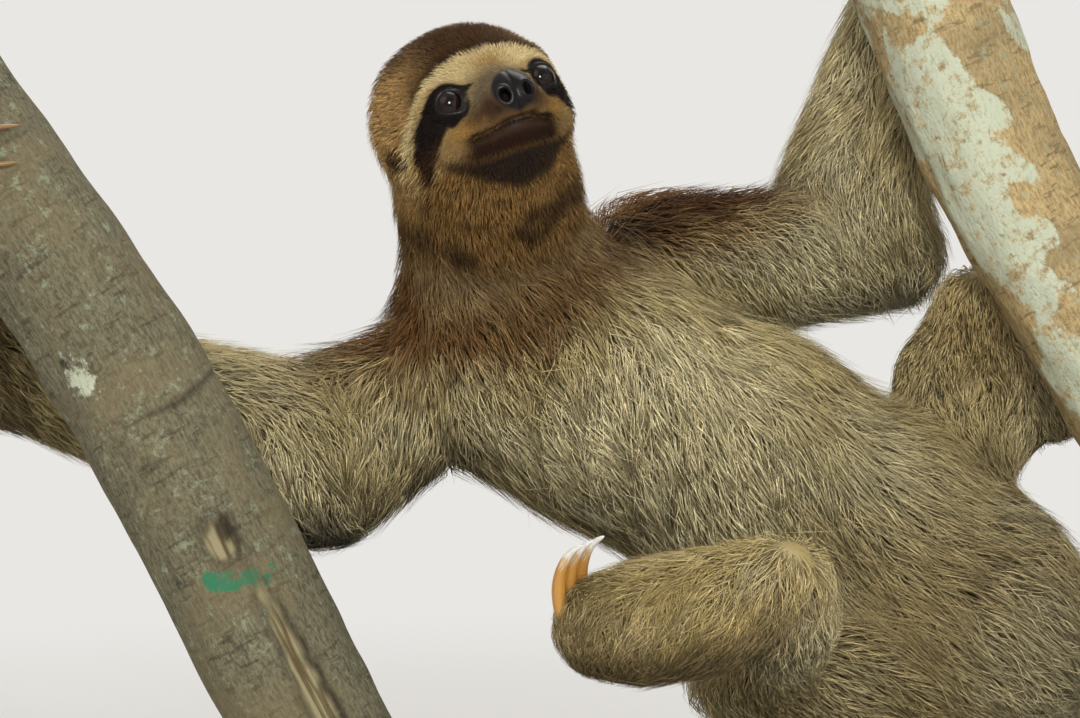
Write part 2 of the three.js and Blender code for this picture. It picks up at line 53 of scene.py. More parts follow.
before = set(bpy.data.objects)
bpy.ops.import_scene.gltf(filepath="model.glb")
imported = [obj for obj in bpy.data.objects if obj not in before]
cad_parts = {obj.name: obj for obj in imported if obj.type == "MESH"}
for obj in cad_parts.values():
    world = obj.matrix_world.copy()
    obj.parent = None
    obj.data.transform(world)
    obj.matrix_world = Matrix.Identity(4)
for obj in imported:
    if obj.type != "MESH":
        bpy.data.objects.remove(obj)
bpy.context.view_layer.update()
MM = 0.001
SEED = 20


def linear(colour):
    """An sRGB hex colour as linear red, green and blue."""
    parts = [int(colour[i : i + 2], 16) / 255 for i in (1, 3, 5)]
    return tuple(c / 12.92 if c <= 0.04045 else ((c + 0.055) / 1.055) ** 2.4 for c in parts)


def vec(*xyz):
    return np.array(xyz, float)


def unit(v):
    return v / np.maximum(np.linalg.norm(v, axis=-1, keepdims=True), 1e-9)


def dot(a, b):
    return np.einsum("...i,...i->...", a, b)


def ramp(x, low, high):
    """A smooth step from 0 at low to 1 at high, also where high is below low."""
    t = np.clip((x - low) / (high - low), 0, 1)
    return t * t * (3 - 2 * t)


def bump(x, middle, width):
    return np.exp(-(((x - middle) / width) ** 2))


# ------------------------------------------------------------------ skeleton
JOINTS = {
    "head_centre": vec(-137, -45, 362),
    "neck_top": vec(-129, -23, 332),
    "neck_base": vec(-123, 5, 297),
    "chest": vec(-112, 18, 260),
    "ribs": vec(-73, 21, 238),
    "belly": vec(-11, 27, 207),
    "loin": vec(46, 27, 167),
    "pelvis": vec(90, 23, 132),
    "tail_root": vec(119, 40, 103),
    "tail_tip": vec(151, 47, 79),
    "shoulder_right": vec(-148, 7, 246),
    "elbow_right": vec(-209, 2, 211),
    "wrist_right": vec(-359, 0, 256),
    "palm_right": vec(-384, -24, 322),
    "fingers_right": vec(-402, -62, 344),
    "shoulder_left": vec(-55, 35, 296),
    "elbow_left": vec(63, 65, 309),
    "forearm_left": vec(46, 65, 330),
    "wrist_left": vec(75, 58, 451),
    "palm_left": vec(74, 43, 479),
    "fingers_left": vec(86, 4, 501),
    "hip_left": vec(104, 51, 132),
    "knee_left": vec(81, 41, 203),
    "ankle_left": vec(131, 62, 247),
    "heel_left": vec(140, 45, 233),
    "instep_left": vec(88, 50, 247),
    "toes_left": vec(101, 36, 281),
    "hip_right": vec(75, 20, 114),
    "knee_right": vec(-11, -27, 116),
    "ankle_right": vec(0, -99, 148),
    "heel_right": vec(-2, -110, 165),
    "arch_right": vec(-38, -112, 149),
    "ball_right": vec(-63, -112, 145),
    "toes_right": vec(-80, -110, 142),
    "toe_tips_right": vec(-85, -111, 148),
}

# The head's own axes, as rows: across towards its left, forward along the muzzle, and up.
ACROSS = unit(vec(0.871, 0.395, 0.293))
FORWARD = unit(vec(0.227, -0.851, 0.474))
HEAD_AXES = np.stack([ACROSS, FORWARD, unit(np.cross(FORWARD, ACROSS))])


def to_head(points):
    return (points - JOINTS["head_centre"]) @ HEAD_AXES.T


def from_head(points):
    return JOINTS["head_centre"] + points @ HEAD_AXES


def mirrored(q):
    """Points of the head, all brought to its left side."""
    return np.concatenate([np.abs(q[..., :1]), q[..., 1:]], axis=-1)


DOWN = vec(0, 0, -1)
TAILWARD = vec(1, 0, 0)

# Each bone: body part, the joints it runs between, radius out to the coat's tips at each,
# depth of the coat, length of its hairs, how the hairs lie: from the first joint to the
# second (1) or back (-1), how much they fall, and how much they turn to the tail.
BONES = [
    ("neck", "neck_top", "neck_base", 41, 46, 13, 26, 1, 0.3, 1),
    ("thorax", "neck_base", "chest", 46, 62, 14, 32, 1, 0.8, 0.7),
    ("thorax", "chest", "ribs", 62, 63, 15, 36, 0.1, 1, 0.35),
    ("abdomen", "ribs", "belly", 63, 64, 15, 38, 0.1, 1, 0.25),
    ("abdomen", "belly", "loin", 64, 63, 15, 34, 0.1, 1, 0.35),
    ("rump", "loin", "pelvis", 63, 67, 16, 34, 0.6, 0.6, 0.8),
    ("tail", "tail_root", "tail_tip", 22, 13, 7, 20, 1, 0, 0),
    ("upper_arm_right", "shoulder_right", "elbow_right", 37, 42, 14, 28, 0.7, 0.9, 0.2),
    ("forearm_right", "elbow_right", "wrist_right", 42, 30, 12, 26, -1, 0.35, 0),
    ("hand_right", "wrist_right", "palm_right", 30, 20, 7, 17, -1, 0, 0),
    ("hand_right", "palm_right", "fingers_right", 20, 13, 4, 10, -1, 0, 0),
    ("upper_arm_left", "shoulder_left", "elbow_left", 40, 31, 13, 28, 0.5, 1, 0.3),
    ("forearm_left", "forearm_left", "wrist_left", 40, 22, 11, 25, -1, 0.1, 0),
    ("hand_left", "wrist_left", "palm_left", 22, 20, 7, 16, -1, 0, 0),
    ("hand_left", "palm_left", "fingers_left", 20, 13, 4, 10, -1, 0, 0),
    ("thigh_right", "hip_right", "knee_right", 52, 30, 14, 30, -1, 0.5, 0.4),
    ("shank_right", "knee_right", "ankle_right", 30, 24, 9, 22, -1, 0.2, 0.5),
    ("foot_right", "heel_right", "arch_right", 21, 25, 7, 25, 0.5, 1, 0),
    ("foot_right", "arch_right", "ball_right", 25, 24, 7, 23, 0.5, 0.9, 0),
    ("foot_right", "ball_right", "toes_right", 24, 18, 5, 17, 0.2, 0.8, 0),
    ("foot_right", "toes_right", "toe_tips_right", 18, 13, 3, 9, -1, 0, 0),
    ("thigh_left", "hip_left", "knee_left", 50, 34, 14, 30, -1, 0.4, 0.3),
    ("shank_left", "knee_left", "ankle_left", 35, 27, 9, 22, -1, 0.2, 0),
    ("shank_left", "knee_left", "instep_left", 30, 22, 8, 20, -1, 0.2, 0),
    ("foot_left", "heel_left", "toes_left", 18, 18, 5, 14, -1, 0, 0),
    ("foot_left", "instep_left", "toes_left", 22, 18, 5, 14, -1, 0, 0),
]
PARTS = [bone[0] for bone in BONES]
START = np.array([JOINTS[bone[1]] for bone in BONES])
END = np.array([JOINTS[bone[2]] for bone in BONES])
RADII = np.array([bone[3:5] for bone in BONES], float)
COAT_DEPTH = np.array([bone[5] for bone in BONES], float)
HAIR_LENGTH = np.array([bone[6] for bone in BONES], float)
LIE = np.array(
    [
        bone[7] * unit(JOINTS[bone[2]] - JOINTS[bone[1]]) + bone[9] * TAILWARD
        for bone in BONES
    ]
)
FALL = np.array([bone[8] for bone in BONES], float)

# Limbs and trunk whose bones run softly into each other before they meet the rest.
CHAINS = [
    ("neck", "thorax", "abdomen", "rump", "tail"),
    ("upper_arm_right", "forearm_right", "hand_right"),
    ("upper_arm_left", "forearm_left", "hand_left"),
    ("thigh_right", "shank_right", "foot_right"),
    ("thigh_left", "shank_left", "foot_left"),
]
CHAIN_BONES = [[i for i, part in enumerate(PARTS) if part in chain] for chain in CHAINS]

# How softly forms run into each other: forms of the face, head into neck, bones of a limb,
# and limbs into trunk. The skin has firmer folds than the tips of the coat.
TIP_BLENDS = (10, 20, 14, 26)
SKIN_BLENDS = (8, 14, 11, 15)

# Where the eyes, nostrils and mouth are, in the head's own axes.
EYE = vec(22.4, 35.3, -10.2)
EYE_RADIUS = 6.2
EYE_SET = 1.9  # how much deeper the ball's centre lies, as it is larger than its socket's form
LID_AXIS = unit(vec(0.1, 0.96, -0.2))
GAZE = unit(vec(-0.14, 0.94, -0.26))
NOSE = vec(0, 45.8, -19)
NOSE_TIP = vec(0, 47, -22)
NOSTRIL = vec(4.5, 51, -22.8)
MOUTH_UP = -31.5
MOUTH_HALF = 20
EAR = vec(43, 3, -13)


def round_cone(p, a, b, ra, rb):
    """Distance to a cone with round ends of radius ra at a and rb at b."""
    axis = b - a
    length2 = axis @ axis
    slope = ra - rb
    lean = length2 - slope * slope
    rel = p - a
    t = rel @ axis
    side2 = np.maximum(length2 * (length2 * dot(rel, rel) - t * t), 0)
    past = t - length2
    past2 = past * past * length2
    along2 = t * t * length2
    k = np.sign(slope) * slope * slope * side2
    body = (np.sqrt(side2 * lean / length2) + t * slope) / length2 - ra
    near = np.sqrt(side2 + along2) / length2 - ra
    far = np.sqrt(side2 + past2) / length2 - rb
    found = np.where(np.sign(t) * lean * along2 < k, near, body)
    return np.where(np.sign(past) * lean * past2 > k, far, found)


def ellipsoid(p, centre, radii):
    q = p - centre
    near = np.linalg.norm(q / radii, axis=-1)
    slope = np.linalg.norm(q / radii**2, axis=-1)
    return near * (near - 1) / np.maximum(slope, 1e-9)


def soft_min(a, b, k):
    h = np.maximum(k - np.abs(a - b), 0) / k
    return np.minimum(a, b) - h * h * k * 0.25


def head_distance(q, k, bare):
    """Distance to the head at q in its own axes. bare adds what lies under the coat."""
    mirror = mirrored(q)
    neck = to_head(JOINTS["neck_top"])
    forms = [
        ellipsoid(q, vec(0, 1, -3.5), vec(47.5, 42, 48)),
        ellipsoid(q, vec(0, 15, -9), vec(38, 24, 34)),
        np.linalg.norm(mirror - vec(23, 14, -20), axis=-1) - 17,
        round_cone(mirror, vec(9, 32, 4), vec(24, 27, 2), 9, 9),
        round_cone(q, vec(0, 26, -14), vec(0, 43, -17.5), 20, 10),
        ellipsoid(q, vec(0, 36, -23), vec(17, 12, 8)),
        round_cone(q, vec(0, 22, -31), vec(0, 34, -29.5), 16, 9),
        round_cone(q, vec(0, 6, -31), neck, 28, 41),
    ]
    near = forms[0]
    for form in forms[1:]:
        near = soft_min(near, form, k)
    if not bare:
        return near
    near = near + head_depth(q)
    for form, blend in (
        (ellipsoid(q, NOSE, vec(10.2, 7.4, 10)), 6),
        (ellipsoid(mirror, vec(4.8, 46.6, -21.8), vec(5.8, 6.0, 6.6)), 4.5),
        (np.linalg.norm(mirror - EYE, axis=-1) - EYE_RADIUS - 0.7, 3),
    ):
        near = soft_min(near, form, blend)
    return near


def head_depth(q):
    """Depth of the head's coat: next to nothing round the nose, eyes and lips."""
    from_nose = np.linalg.norm(q - NOSE_TIP, axis=-1)
    from_eye = np.linalg.norm(mirrored(q) - EYE, axis=-1)
    face = 0.9 + 2.2 * ramp(from_nose, 11, 32)
    back = 7 * ramp(q[..., 1], 32, 6)
    depth = face + back
    return depth * (0.35 + 0.65 * ramp(from_eye, 8, 18))


def head_hair(q):
    """Length of the head's hair, from short plush by the nose to the shaggy crown."""
    from_nose = np.linalg.norm(q - NOSE_TIP, axis=-1)
    return 2.1 + 2.5 * ramp(from_nose, 12, 38) + 8.5 * ramp(q[..., 1], 28, -2)


def bone_distances(points):
    return np.stack(
        [round_cone(points, a, b, *r) for a, b, r in zip(START, END, RADII)], axis=-1
    )


def union(distances, head, blends):
    _, neck_blend, joint_blend, limb_blend = blends
    chains = []
    for bones in CHAIN_BONES:
        near = distances[..., bones[0]]
        for bone in bones[1:]:
            near = soft_min(near, distances[..., bone], joint_blend)
        chains.append(near)
    near = soft_min(chains[0], head, neck_blend)
    for chain in chains[1:]:
        near = soft_min(near, chain, limb_blend)
    return near


WEIGHT_REACH = 7  # how far apart, in distance to two bones, the nearer one wins the coat
HEAD_WINS = 6  # a start that the head has over the neck


def influence(distances, head):
    """Share of each bone, and last of the head, in the coat at a point."""
    both = np.concatenate([distances, head[..., None] - HEAD_WINS], axis=-1)
    share = np.exp(-(both - both.min(axis=-1, keepdims=True)) / WEIGHT_REACH)
    return share / share.sum(axis=-1, keepdims=True)


PERCH_GAP = 1.4  # clear space between skin and bark
CHUNK = 60000  # points that are worked on at a time, which bounds the memory


def in_chunks(points):
    return np.array_split(points, max(1, len(points) // CHUNK))


def anatomy(points, share_too=False):
    """Distance to the skin, depth of the coat there, and each bone's share on request."""
    found = []
    for part in in_chunks(points):
        q = to_head(part)
        distances = bone_distances(part)
        head = head_distance(q, TIP_BLENDS[0], False)
        share = influence(distances, head)
        bare_head = head_distance(q, SKIN_BLENDS[0], True) - head_depth(q)
        depth = share[..., :-1] @ COAT_DEPTH + share[..., -1] * head_depth(q)
        skin = union(distances, bare_head, SKIN_BLENDS) + depth
        skin = np.maximum(skin, PERCH_GAP - perch_distance(part))
        found.append((skin, depth, share) if share_too else (skin, depth))
    return [np.concatenate(column) for column in zip(*found)]


# ------------------------------------------------------------------ perches' curves
PERCHES = {
    "right": [vec(-427, -70, 454), vec(-339, -70, 333), vec(-284, -70, 248), vec(-196, -70, 79)],
    "left": [
        vec(31, 0, 540),
        vec(71, 0, 432),
        vec(108, 0, 339),
        vec(163, 0, 246),
        vec(215, 0, 156),
    ],
}
PERCH_RADIUS = 33
PERCH_PHASE = {"right": 0.4, "left": 2.1}


class Curve:
    """A centripetal Catmull-Rom curve that is walked by its length."""

    SAMPLES = 400

    def __init__(self, knots):
        knots = np.array(knots, float)
        ends = (2 * knots[:1] - knots[1:2], knots, 2 * knots[-1:] - knots[-2:-1])
        k = np.concatenate(ends)
        pieces = []
        count = self.SAMPLES // (len(knots) - 1)
        for i in range(len(knots) - 1):
            t = np.linspace(0, 1, count + 1)[: None if i == len(knots) - 2 else -1]
            pieces.append(self.span(k[i : i + 4], t[:, None]))
        self.points = np.concatenate(pieces)
        steps = np.linalg.norm(np.diff(self.points, axis=0), axis=1)
        self.lengths = np.concatenate([[0], np.cumsum(steps)])
        self.length = self.lengths[-1]

    @staticmethod
    def span(k, t):
        d0, d1, d2 = np.sqrt(np.linalg.norm(np.diff(k, axis=0), axis=1))
        m1 = ((k[1] - k[0]) / d0 - (k[2] - k[0]) / (d0 + d1) + (k[2] - k[1]) / d1) * d1
        m2 = ((k[2] - k[1]) / d1 - (k[3] - k[1]) / (d1 + d2) + (k[3] - k[2]) / d2) * d1
        c2 = -3 * k[1] + 3 * k[2] - 2 * m1 - m2
        c3 = 2 * k[1] - 2 * k[2] + m1 + m2
        return k[1] + m1 * t + c2 * t * t + c3 * t**3

    def at(self, t):
        along = np.asarray(t) * self.length
        return np.stack(
            [np.interp(along, self.lengths, self.points[:, i]) for i in range(3)], axis=-1
        )

    def heading(self, t):
        step = 0.004
        t = np.clip(t, step, 1 - step)
        return unit(self.at(t + step) - self.at(t - step))


PERCH_CURVES = {side: Curve(knots) for side, knots in PERCHES.items()}


def perch_distance(points):
    """Distance to the nearer perch's bark, taken as a plain tube."""
    near = np.full(points.shape[:-1], 1e3)
    for curve in PERCH_CURVES.values():
        t = np.linspace(0, 1, 40)
        places, headings = curve.at(t), curve.heading(t)
        nearest = np.stack([dot(points - c, points - c) for c in places]).argmin(axis=0)
        rel = points - places[nearest]
        rel = rel - dot(rel, headings[nearest])[..., None] * headings[nearest]
        near = np.minimum(near, np.linalg.norm(rel, axis=-1) - PERCH_RADIUS - 1)
    return near


# ------------------------------------------------------------------ noise
def waves(points, size, seed, count=9):
    """Smooth noise from -1 to 1 whose swells are about size across, and its slope."""
    random = np.random.default_rng(seed)
    headings = unit(random.normal(size=(count, 3))) * random.uniform(0.6, 1.5, (count, 1))
    phases = random.uniform(0, 2 * math.pi, count)
    turns = points @ headings.T * (2 * math.pi / (2 * size)) + phases
    level = np.sin(turns).sum(axis=-1) * (1.6 / count)
    slope = np.cos(turns) @ headings
    return level, slope


# ------------------------------------------------------------------ the skin's grid
GRID_LOW = vec(-440, -165, 50)
GRID_HIGH = vec(192, 132, 528)
COARSE = 4  # grid points that one rough value stands for
BAND = 19  # how near the skin a value has to be worked out


class Flesh:
    """Distance to the skin and depth of the coat on an even grid, read between its points."""

    def __init__(self, cell):
        self.cell = cell
        counts = np.ceil((GRID_HIGH - GRID_LOW) / cell / COARSE).astype(int) * COARSE
        rough = GRID_LOW + (self.lattice(counts // COARSE) * COARSE + (COARSE - 1) / 2) * cell
        rough_skin, rough_depth = anatomy(rough)
        shape = tuple(counts // COARSE)
        fine = [
            np.repeat(np.repeat(np.repeat(a.reshape(shape), COARSE, 0), COARSE, 1), COARSE, 2)
            for a in (rough_skin, rough_depth)
        ]
        self.skin, self.depth = (a.astype(np.float32) for a in fine)
        near = np.argwhere(np.abs(self.skin) < BAND)
        skin, depth = anatomy(GRID_LOW + near * cell)
        self.skin[tuple(near.T)] = skin
        self.depth[tuple(near.T)] = depth

    @staticmethod
    def lattice(counts):
        axes = [np.arange(count) for count in counts]
        return np.stack(np.meshgrid(*axes, indexing="ij"), axis=-1).reshape(-1, 3)

    def read(self, values, points):
        place = (points - GRID_LOW) / self.cell
        corner = np.clip(np.floor(place).astype(int), 0, np.array(values.shape) - 2)
        part = np.clip(place - corner, 0, 1)
        found = 0
        for bits in range(8):
            side = np.array((bits & 1, bits >> 1 & 1, bits >> 2))
            weight = np.where(side, part, 1 - part).prod(axis=-1)
            found = found + weight * values[tuple((corner + side).T)]
        return found

    def height(self, points):
        return self.read(self.skin, points)

    def normal(self, points):
        reach = self.cell * 0.8
        sides = [
            self.height(points + reach * axis) - self.height(points - reach * axis)
            for axis in np.eye(3)
        ]
        return unit(np.stack(sides, axis=-1))

    def surface(self):
        """The skin as points and quads."""
        volume = openvdb.FloatGrid(background=BAND)
        volume.copyFromArray(self.skin)
        points, _, quads = volume.convertToPolygons(isovalue=0, adaptivity=0)
        return GRID_LOW + points * self.cell, quads


def settle(points, turns):
    """Moves points onto the skin along its slope, by small steps."""
    step, limit = 0.2, 1.5
    for _ in range(turns):
        height = anatomy(points)[0]
        slope = np.stack(
            [(anatomy(points + step * axis)[0] - height) / step for axis in np.eye(3)], axis=-1
        )
        move = height / np.maximum(np.linalg.norm(slope, axis=-1), 0.4)
        points = points - unit(slope) * np.clip(move, -limit, limit)[:, None]
    return points


# ------------------------------------------------------------------ face
LID_UP = unit(vec(0, 0, 1) - LID_AXIS * LID_AXIS[2])
LID_OUT = np.cross(LID_AXIS, LID_UP) * -1
NOSTRIL_AXIS = unit(vec(0.42, 0.88, -0.2))
NOSTRIL_HALF = (2.3, 3.2)


def lid_opening(q):
    """Below 1 inside the opening of the lids, which is drawn out towards the nose."""
    rel = mirrored(q) - EYE
    aim = unit(rel)
    out, up = aim @ LID_OUT, aim @ LID_UP
    half_out = np.where(out > 0, 0.8, 0.93)
    opening = np.hypot(out / half_out, (up + 0.06 * (out < 0) * -out) / 0.77)
    return np.where(aim @ LID_AXIS > 0, opening, 9)


def mouth_drop(q):
    """How far a point of the face is above the line of the mouth."""
    return q[..., 2] - (MOUTH_UP + 4.2 * (q[..., 0] / MOUTH_HALF) ** 2)


def nostril(q):
    """Below 1 inside a nostril."""
    rel = mirrored(q) - NOSTRIL
    sideways = rel[..., 0] * NOSTRIL_AXIS[1] - rel[..., 1] * NOSTRIL_AXIS[0]
    hole = np.hypot(sideways / NOSTRIL_HALF[0], rel[..., 2] / NOSTRIL_HALF[1])
    return np.where(q[..., 1] > 42, hole, 9)


def leather(q):
    """1 on the bare pad of the nose, 0 off it."""
    shape = np.hypot(q[..., 0] / 10, (q[..., 2] + 20.4) / 9.6)
    return ramp(shape + 0.05 * waves(q, 5, 35)[0], 1.1, 0.9) * (q[..., 1] > 40)


def face_relief(points, normals):
    """Moves points of the face into lids, folds, nostrils and lips."""
    q = to_head(points)
    m = mirrored(q)
    push = np.zeros(len(q))
    front = ramp(q[:, 1], 16, 26)
    across = np.abs(q[:, 0])

    drop = mouth_drop(q)
    mouth = ramp(across, MOUTH_HALF + 2.5, MOUTH_HALF - 2) * front
    push += mouth * (0.6 * bump(drop, 1.9, 1.3) + 0.9 * bump(drop, -2.6, 1.8))
    push -= mouth * 1.7 * bump(drop, 0, 0.85)
    push -= 0.8 * bump(drop, -8.6, 1.6) * ramp(across, 20, 12) * front
    push -= 0.3 * bump(q[:, 0], 0, 1) * ramp(drop, 6, 3) * ramp(drop, 0, 1) * front

    rel = m - EYE
    lateral = np.hypot(rel @ LID_OUT, rel @ LID_UP)
    push -= 0.35 * bump(lateral, 9.6, 0.7) * ramp(rel @ LID_AXIS, -4, 0)
    opening = lid_opening(q)
    push += bump(opening, 1.1, 0.07) * 0.2

    hole = nostril(q)
    push += 0.5 * bump(hole, 1.32, 0.28) - 0.35 * bump(q[:, 0], 0, 1.1) * leather(q)

    q = to_head(points + normals * push[:, None])
    side = np.where(q[:, :1] < 0, -1, 1) * vec(1, 0, 0) + vec(0, 1, 1)
    q = q - NOSTRIL_AXIS * side * (5.0 * ramp(hole, 1.0, 0.5))[:, None]
    eye = EYE * side
    reach = np.linalg.norm(q - eye, axis=1)
    inside = ramp(opening, 1.04, 0.94) * (reach < EYE_RADIUS + 4)
    q = eye + (q - eye) * (1 + inside * ((EYE_RADIUS - 1) / reach - 1))[:, None]
    return from_head(q)


# ------------------------------------------------------------------ markings
def mix(a, b, share):
    return a + (b - a) * np.clip(share, 0, 1)[..., None]


def colours(group):
    """The colours of a group of settings, by name."""
    return {
        name: np.array(getattr(group, name))
        for name, prop in group.bl_rna.properties.items()
        if prop.type == "FLOAT" and prop.is_array
    }


def capsule(x, y, ax, ay, bx, by, ra, rb):
    """Distance in the plane to a capsule that tapers from ra at a to rb at b."""
    dx, dy = bx - ax, by - ay
    t = np.clip(((x - ax) * dx + (y - ay) * dy) / (dx * dx + dy * dy), 0, 1)
    return np.hypot(x - ax - t * dx, y - ay - t * dy) - (ra + (rb - ra) * t)


def head_markings(q, c):
    """Colour of the head at q, by degrees across (lon) and up (lat) from its centre."""
    ragged = waves(q, 3.5, 31)[0], waves(q, 3.5, 32)[0]
    lon = np.degrees(np.arctan2(np.abs(q[:, 0]), q[:, 1])) + 1.3 * ragged[0]
    lat = np.degrees(np.arctan2(q[:, 2], np.hypot(q[:, 0], q[:, 1]))) + 1.3 * ragged[1]
    from_nose = np.linalg.norm(q - NOSE_TIP, axis=-1)
    drop = mouth_drop(q)
    across = np.abs(q[:, 0])

    mask = np.minimum.reduce(
        [
            np.hypot((lon - 34) / 14.5, (lat + 15) / 11) * 12 - 12,
            capsule(lon, lat, 31, -11, 14.5, -10.5, 7, 0.5),
            capsule(lon, lat, 43, -17, 68, -32, 9.5, 7.5),
            capsule(lon, lat, 68, -32, 82, -40, 7.5, 2),
        ]
    )
    tone = mix(c["cream"], c["gold"], 0.8 * np.exp(-((lon / 12) ** 2) - ((lat - 1) / 8) ** 2))
    tone = mix(tone, c["gold"], 0.55 * bump(mask, 1.5, 2.4) * ramp(lat, -36, -24))
    tone = mix(tone, c["gold"], 0.6 * ramp(lat, -18, -32) * ramp(lon, 52, 62))
    edge = lat - np.where(lon < 48, 13 - 0.0064 * lon * lon, 22.2 - 0.5 * lon)
    crown = ramp(edge, -1, 2)
    crown_tone = mix(c["crown"], c["crown_side"], ramp(lon, 22, 66) * ramp(lat, 58, 18))
    crown_tone = mix(crown_tone, c["crown"], 0.5 * ramp(waves(q, 9, 34)[0], 0.1, 0.9))
    crown_tone = mix(crown_tone, c["crown_edge"], 0.8 * bump(edge, 3.5, 3) * ramp(lon, 62, 40))
    tone = mix(tone, crown_tone, crown)

    back = np.clip(lon - 50, 0, 60)
    throat = ramp(lat - 0.12 * back, -36, -48)
    mottled = mix(c["throat"], c["throat_dark"], 0.8 * ramp(waves(q, 6, 33)[0], -0.1, 1))
    # Painted shade with dark fur in the throat's folds, in the chin's colour.
    folds = ramp(waves(q * vec(0.4, 0.4, 1), 7, 36)[0], 0.6, 1.3)
    mottled = mix(mottled, c["chin"], 0.6 * folds)
    tone = mix(tone, mottled, np.maximum(throat, ramp(np.linalg.norm(q, axis=1), 46, 54)))
    tone = mix(tone, c["bridge"], ramp(from_nose, 26, 14) * ramp(q[:, 2], -24, -18))
    tone = mix(tone, c["muzzle"], ramp(from_nose, 39, 23) * ramp(q[:, 2], -14, -23))
    tone = mix(tone, mottled, 0.75 * ramp(lat, -25, -35) * ramp(lon, 68, 54))
    golden = np.exp(-(((lon - 36) / 9) ** 2) - ((lat + 30) / 5) ** 2)
    tone = mix(tone, c["gold"], 0.9 * golden)
    tone = mix(tone, mix(c["mask"], c["mask_foot"], ramp(lat, -23, -34)), ramp(mask, 1.2, -1.2))

    under = ramp(drop, 0.5, -1.5) * ramp(across, 25, 18) * ramp(q[:, 1], 10, 18)
    tone = mix(tone, c["lip"], under * ramp(drop, -14, -8))
    tone = mix(tone, c["throat"], 0.3 * under * bump(drop, -8.8, 1.1))
    chin = np.hypot(lon / 58, (lat + 55 - 0.004 * lon * lon) / 13)
    tone = mix(tone, c["chin"], 0.95 * ramp(chin, 1.12, 0.85) * ramp(drop, -8, -10))
    lip_line = ramp(np.abs(drop), 1.1, 0.3) * ramp(across, MOUTH_HALF + 2, MOUTH_HALF - 2)
    above = bump(drop, 3, 3) * ramp(across, 16, 6)
    tone = mix(tone, c["lid"], np.maximum(lip_line, 0.7 * above) * ramp(q[:, 1], 16, 26))
    tone = mix(tone, c["leather"], leather(q))
    # Painted shade: the nostrils' hollows are darkened to near black.
    tone = mix(tone, 0.3 * c["leather"], ramp(nostril(q), 1.15, 0.85))
    from_ear = np.linalg.norm((mirrored(q) - EAR) * vec(0.5, 1, 0.8), axis=1)
    tone = mix(tone, c["ear"], 0.85 * ramp(from_ear + 1.5 * ragged[0], 6.5, 3))
    from_eye = np.linalg.norm(mirrored(q) - EYE, axis=1)
    return mix(tone, c["lid"], ramp(from_eye, 10, 8.4))


def part_share(share, *parts):
    return sum(share[:, i] for i, part in enumerate(PARTS) if part in parts)


TRUNK = ("thorax", "abdomen", "rump")
# Height of the lower edge of the brown mantle, along the body from the right arm on.
MANTLE_X = (-230, -160, -105, -60, -10, 40, 90)
MANTLE_Z = (248, 250, 258, 300, 318, 340, 420)
# Painted shade, with dark fur, in the creases where jaw and neck meet: x and z of each one's ends, and
# its reach at each.
SHADED_NECK_CREASES = ((-88, 331, -110, 311, 6, 4), (-168, 314, -134, 297, 2, 4))


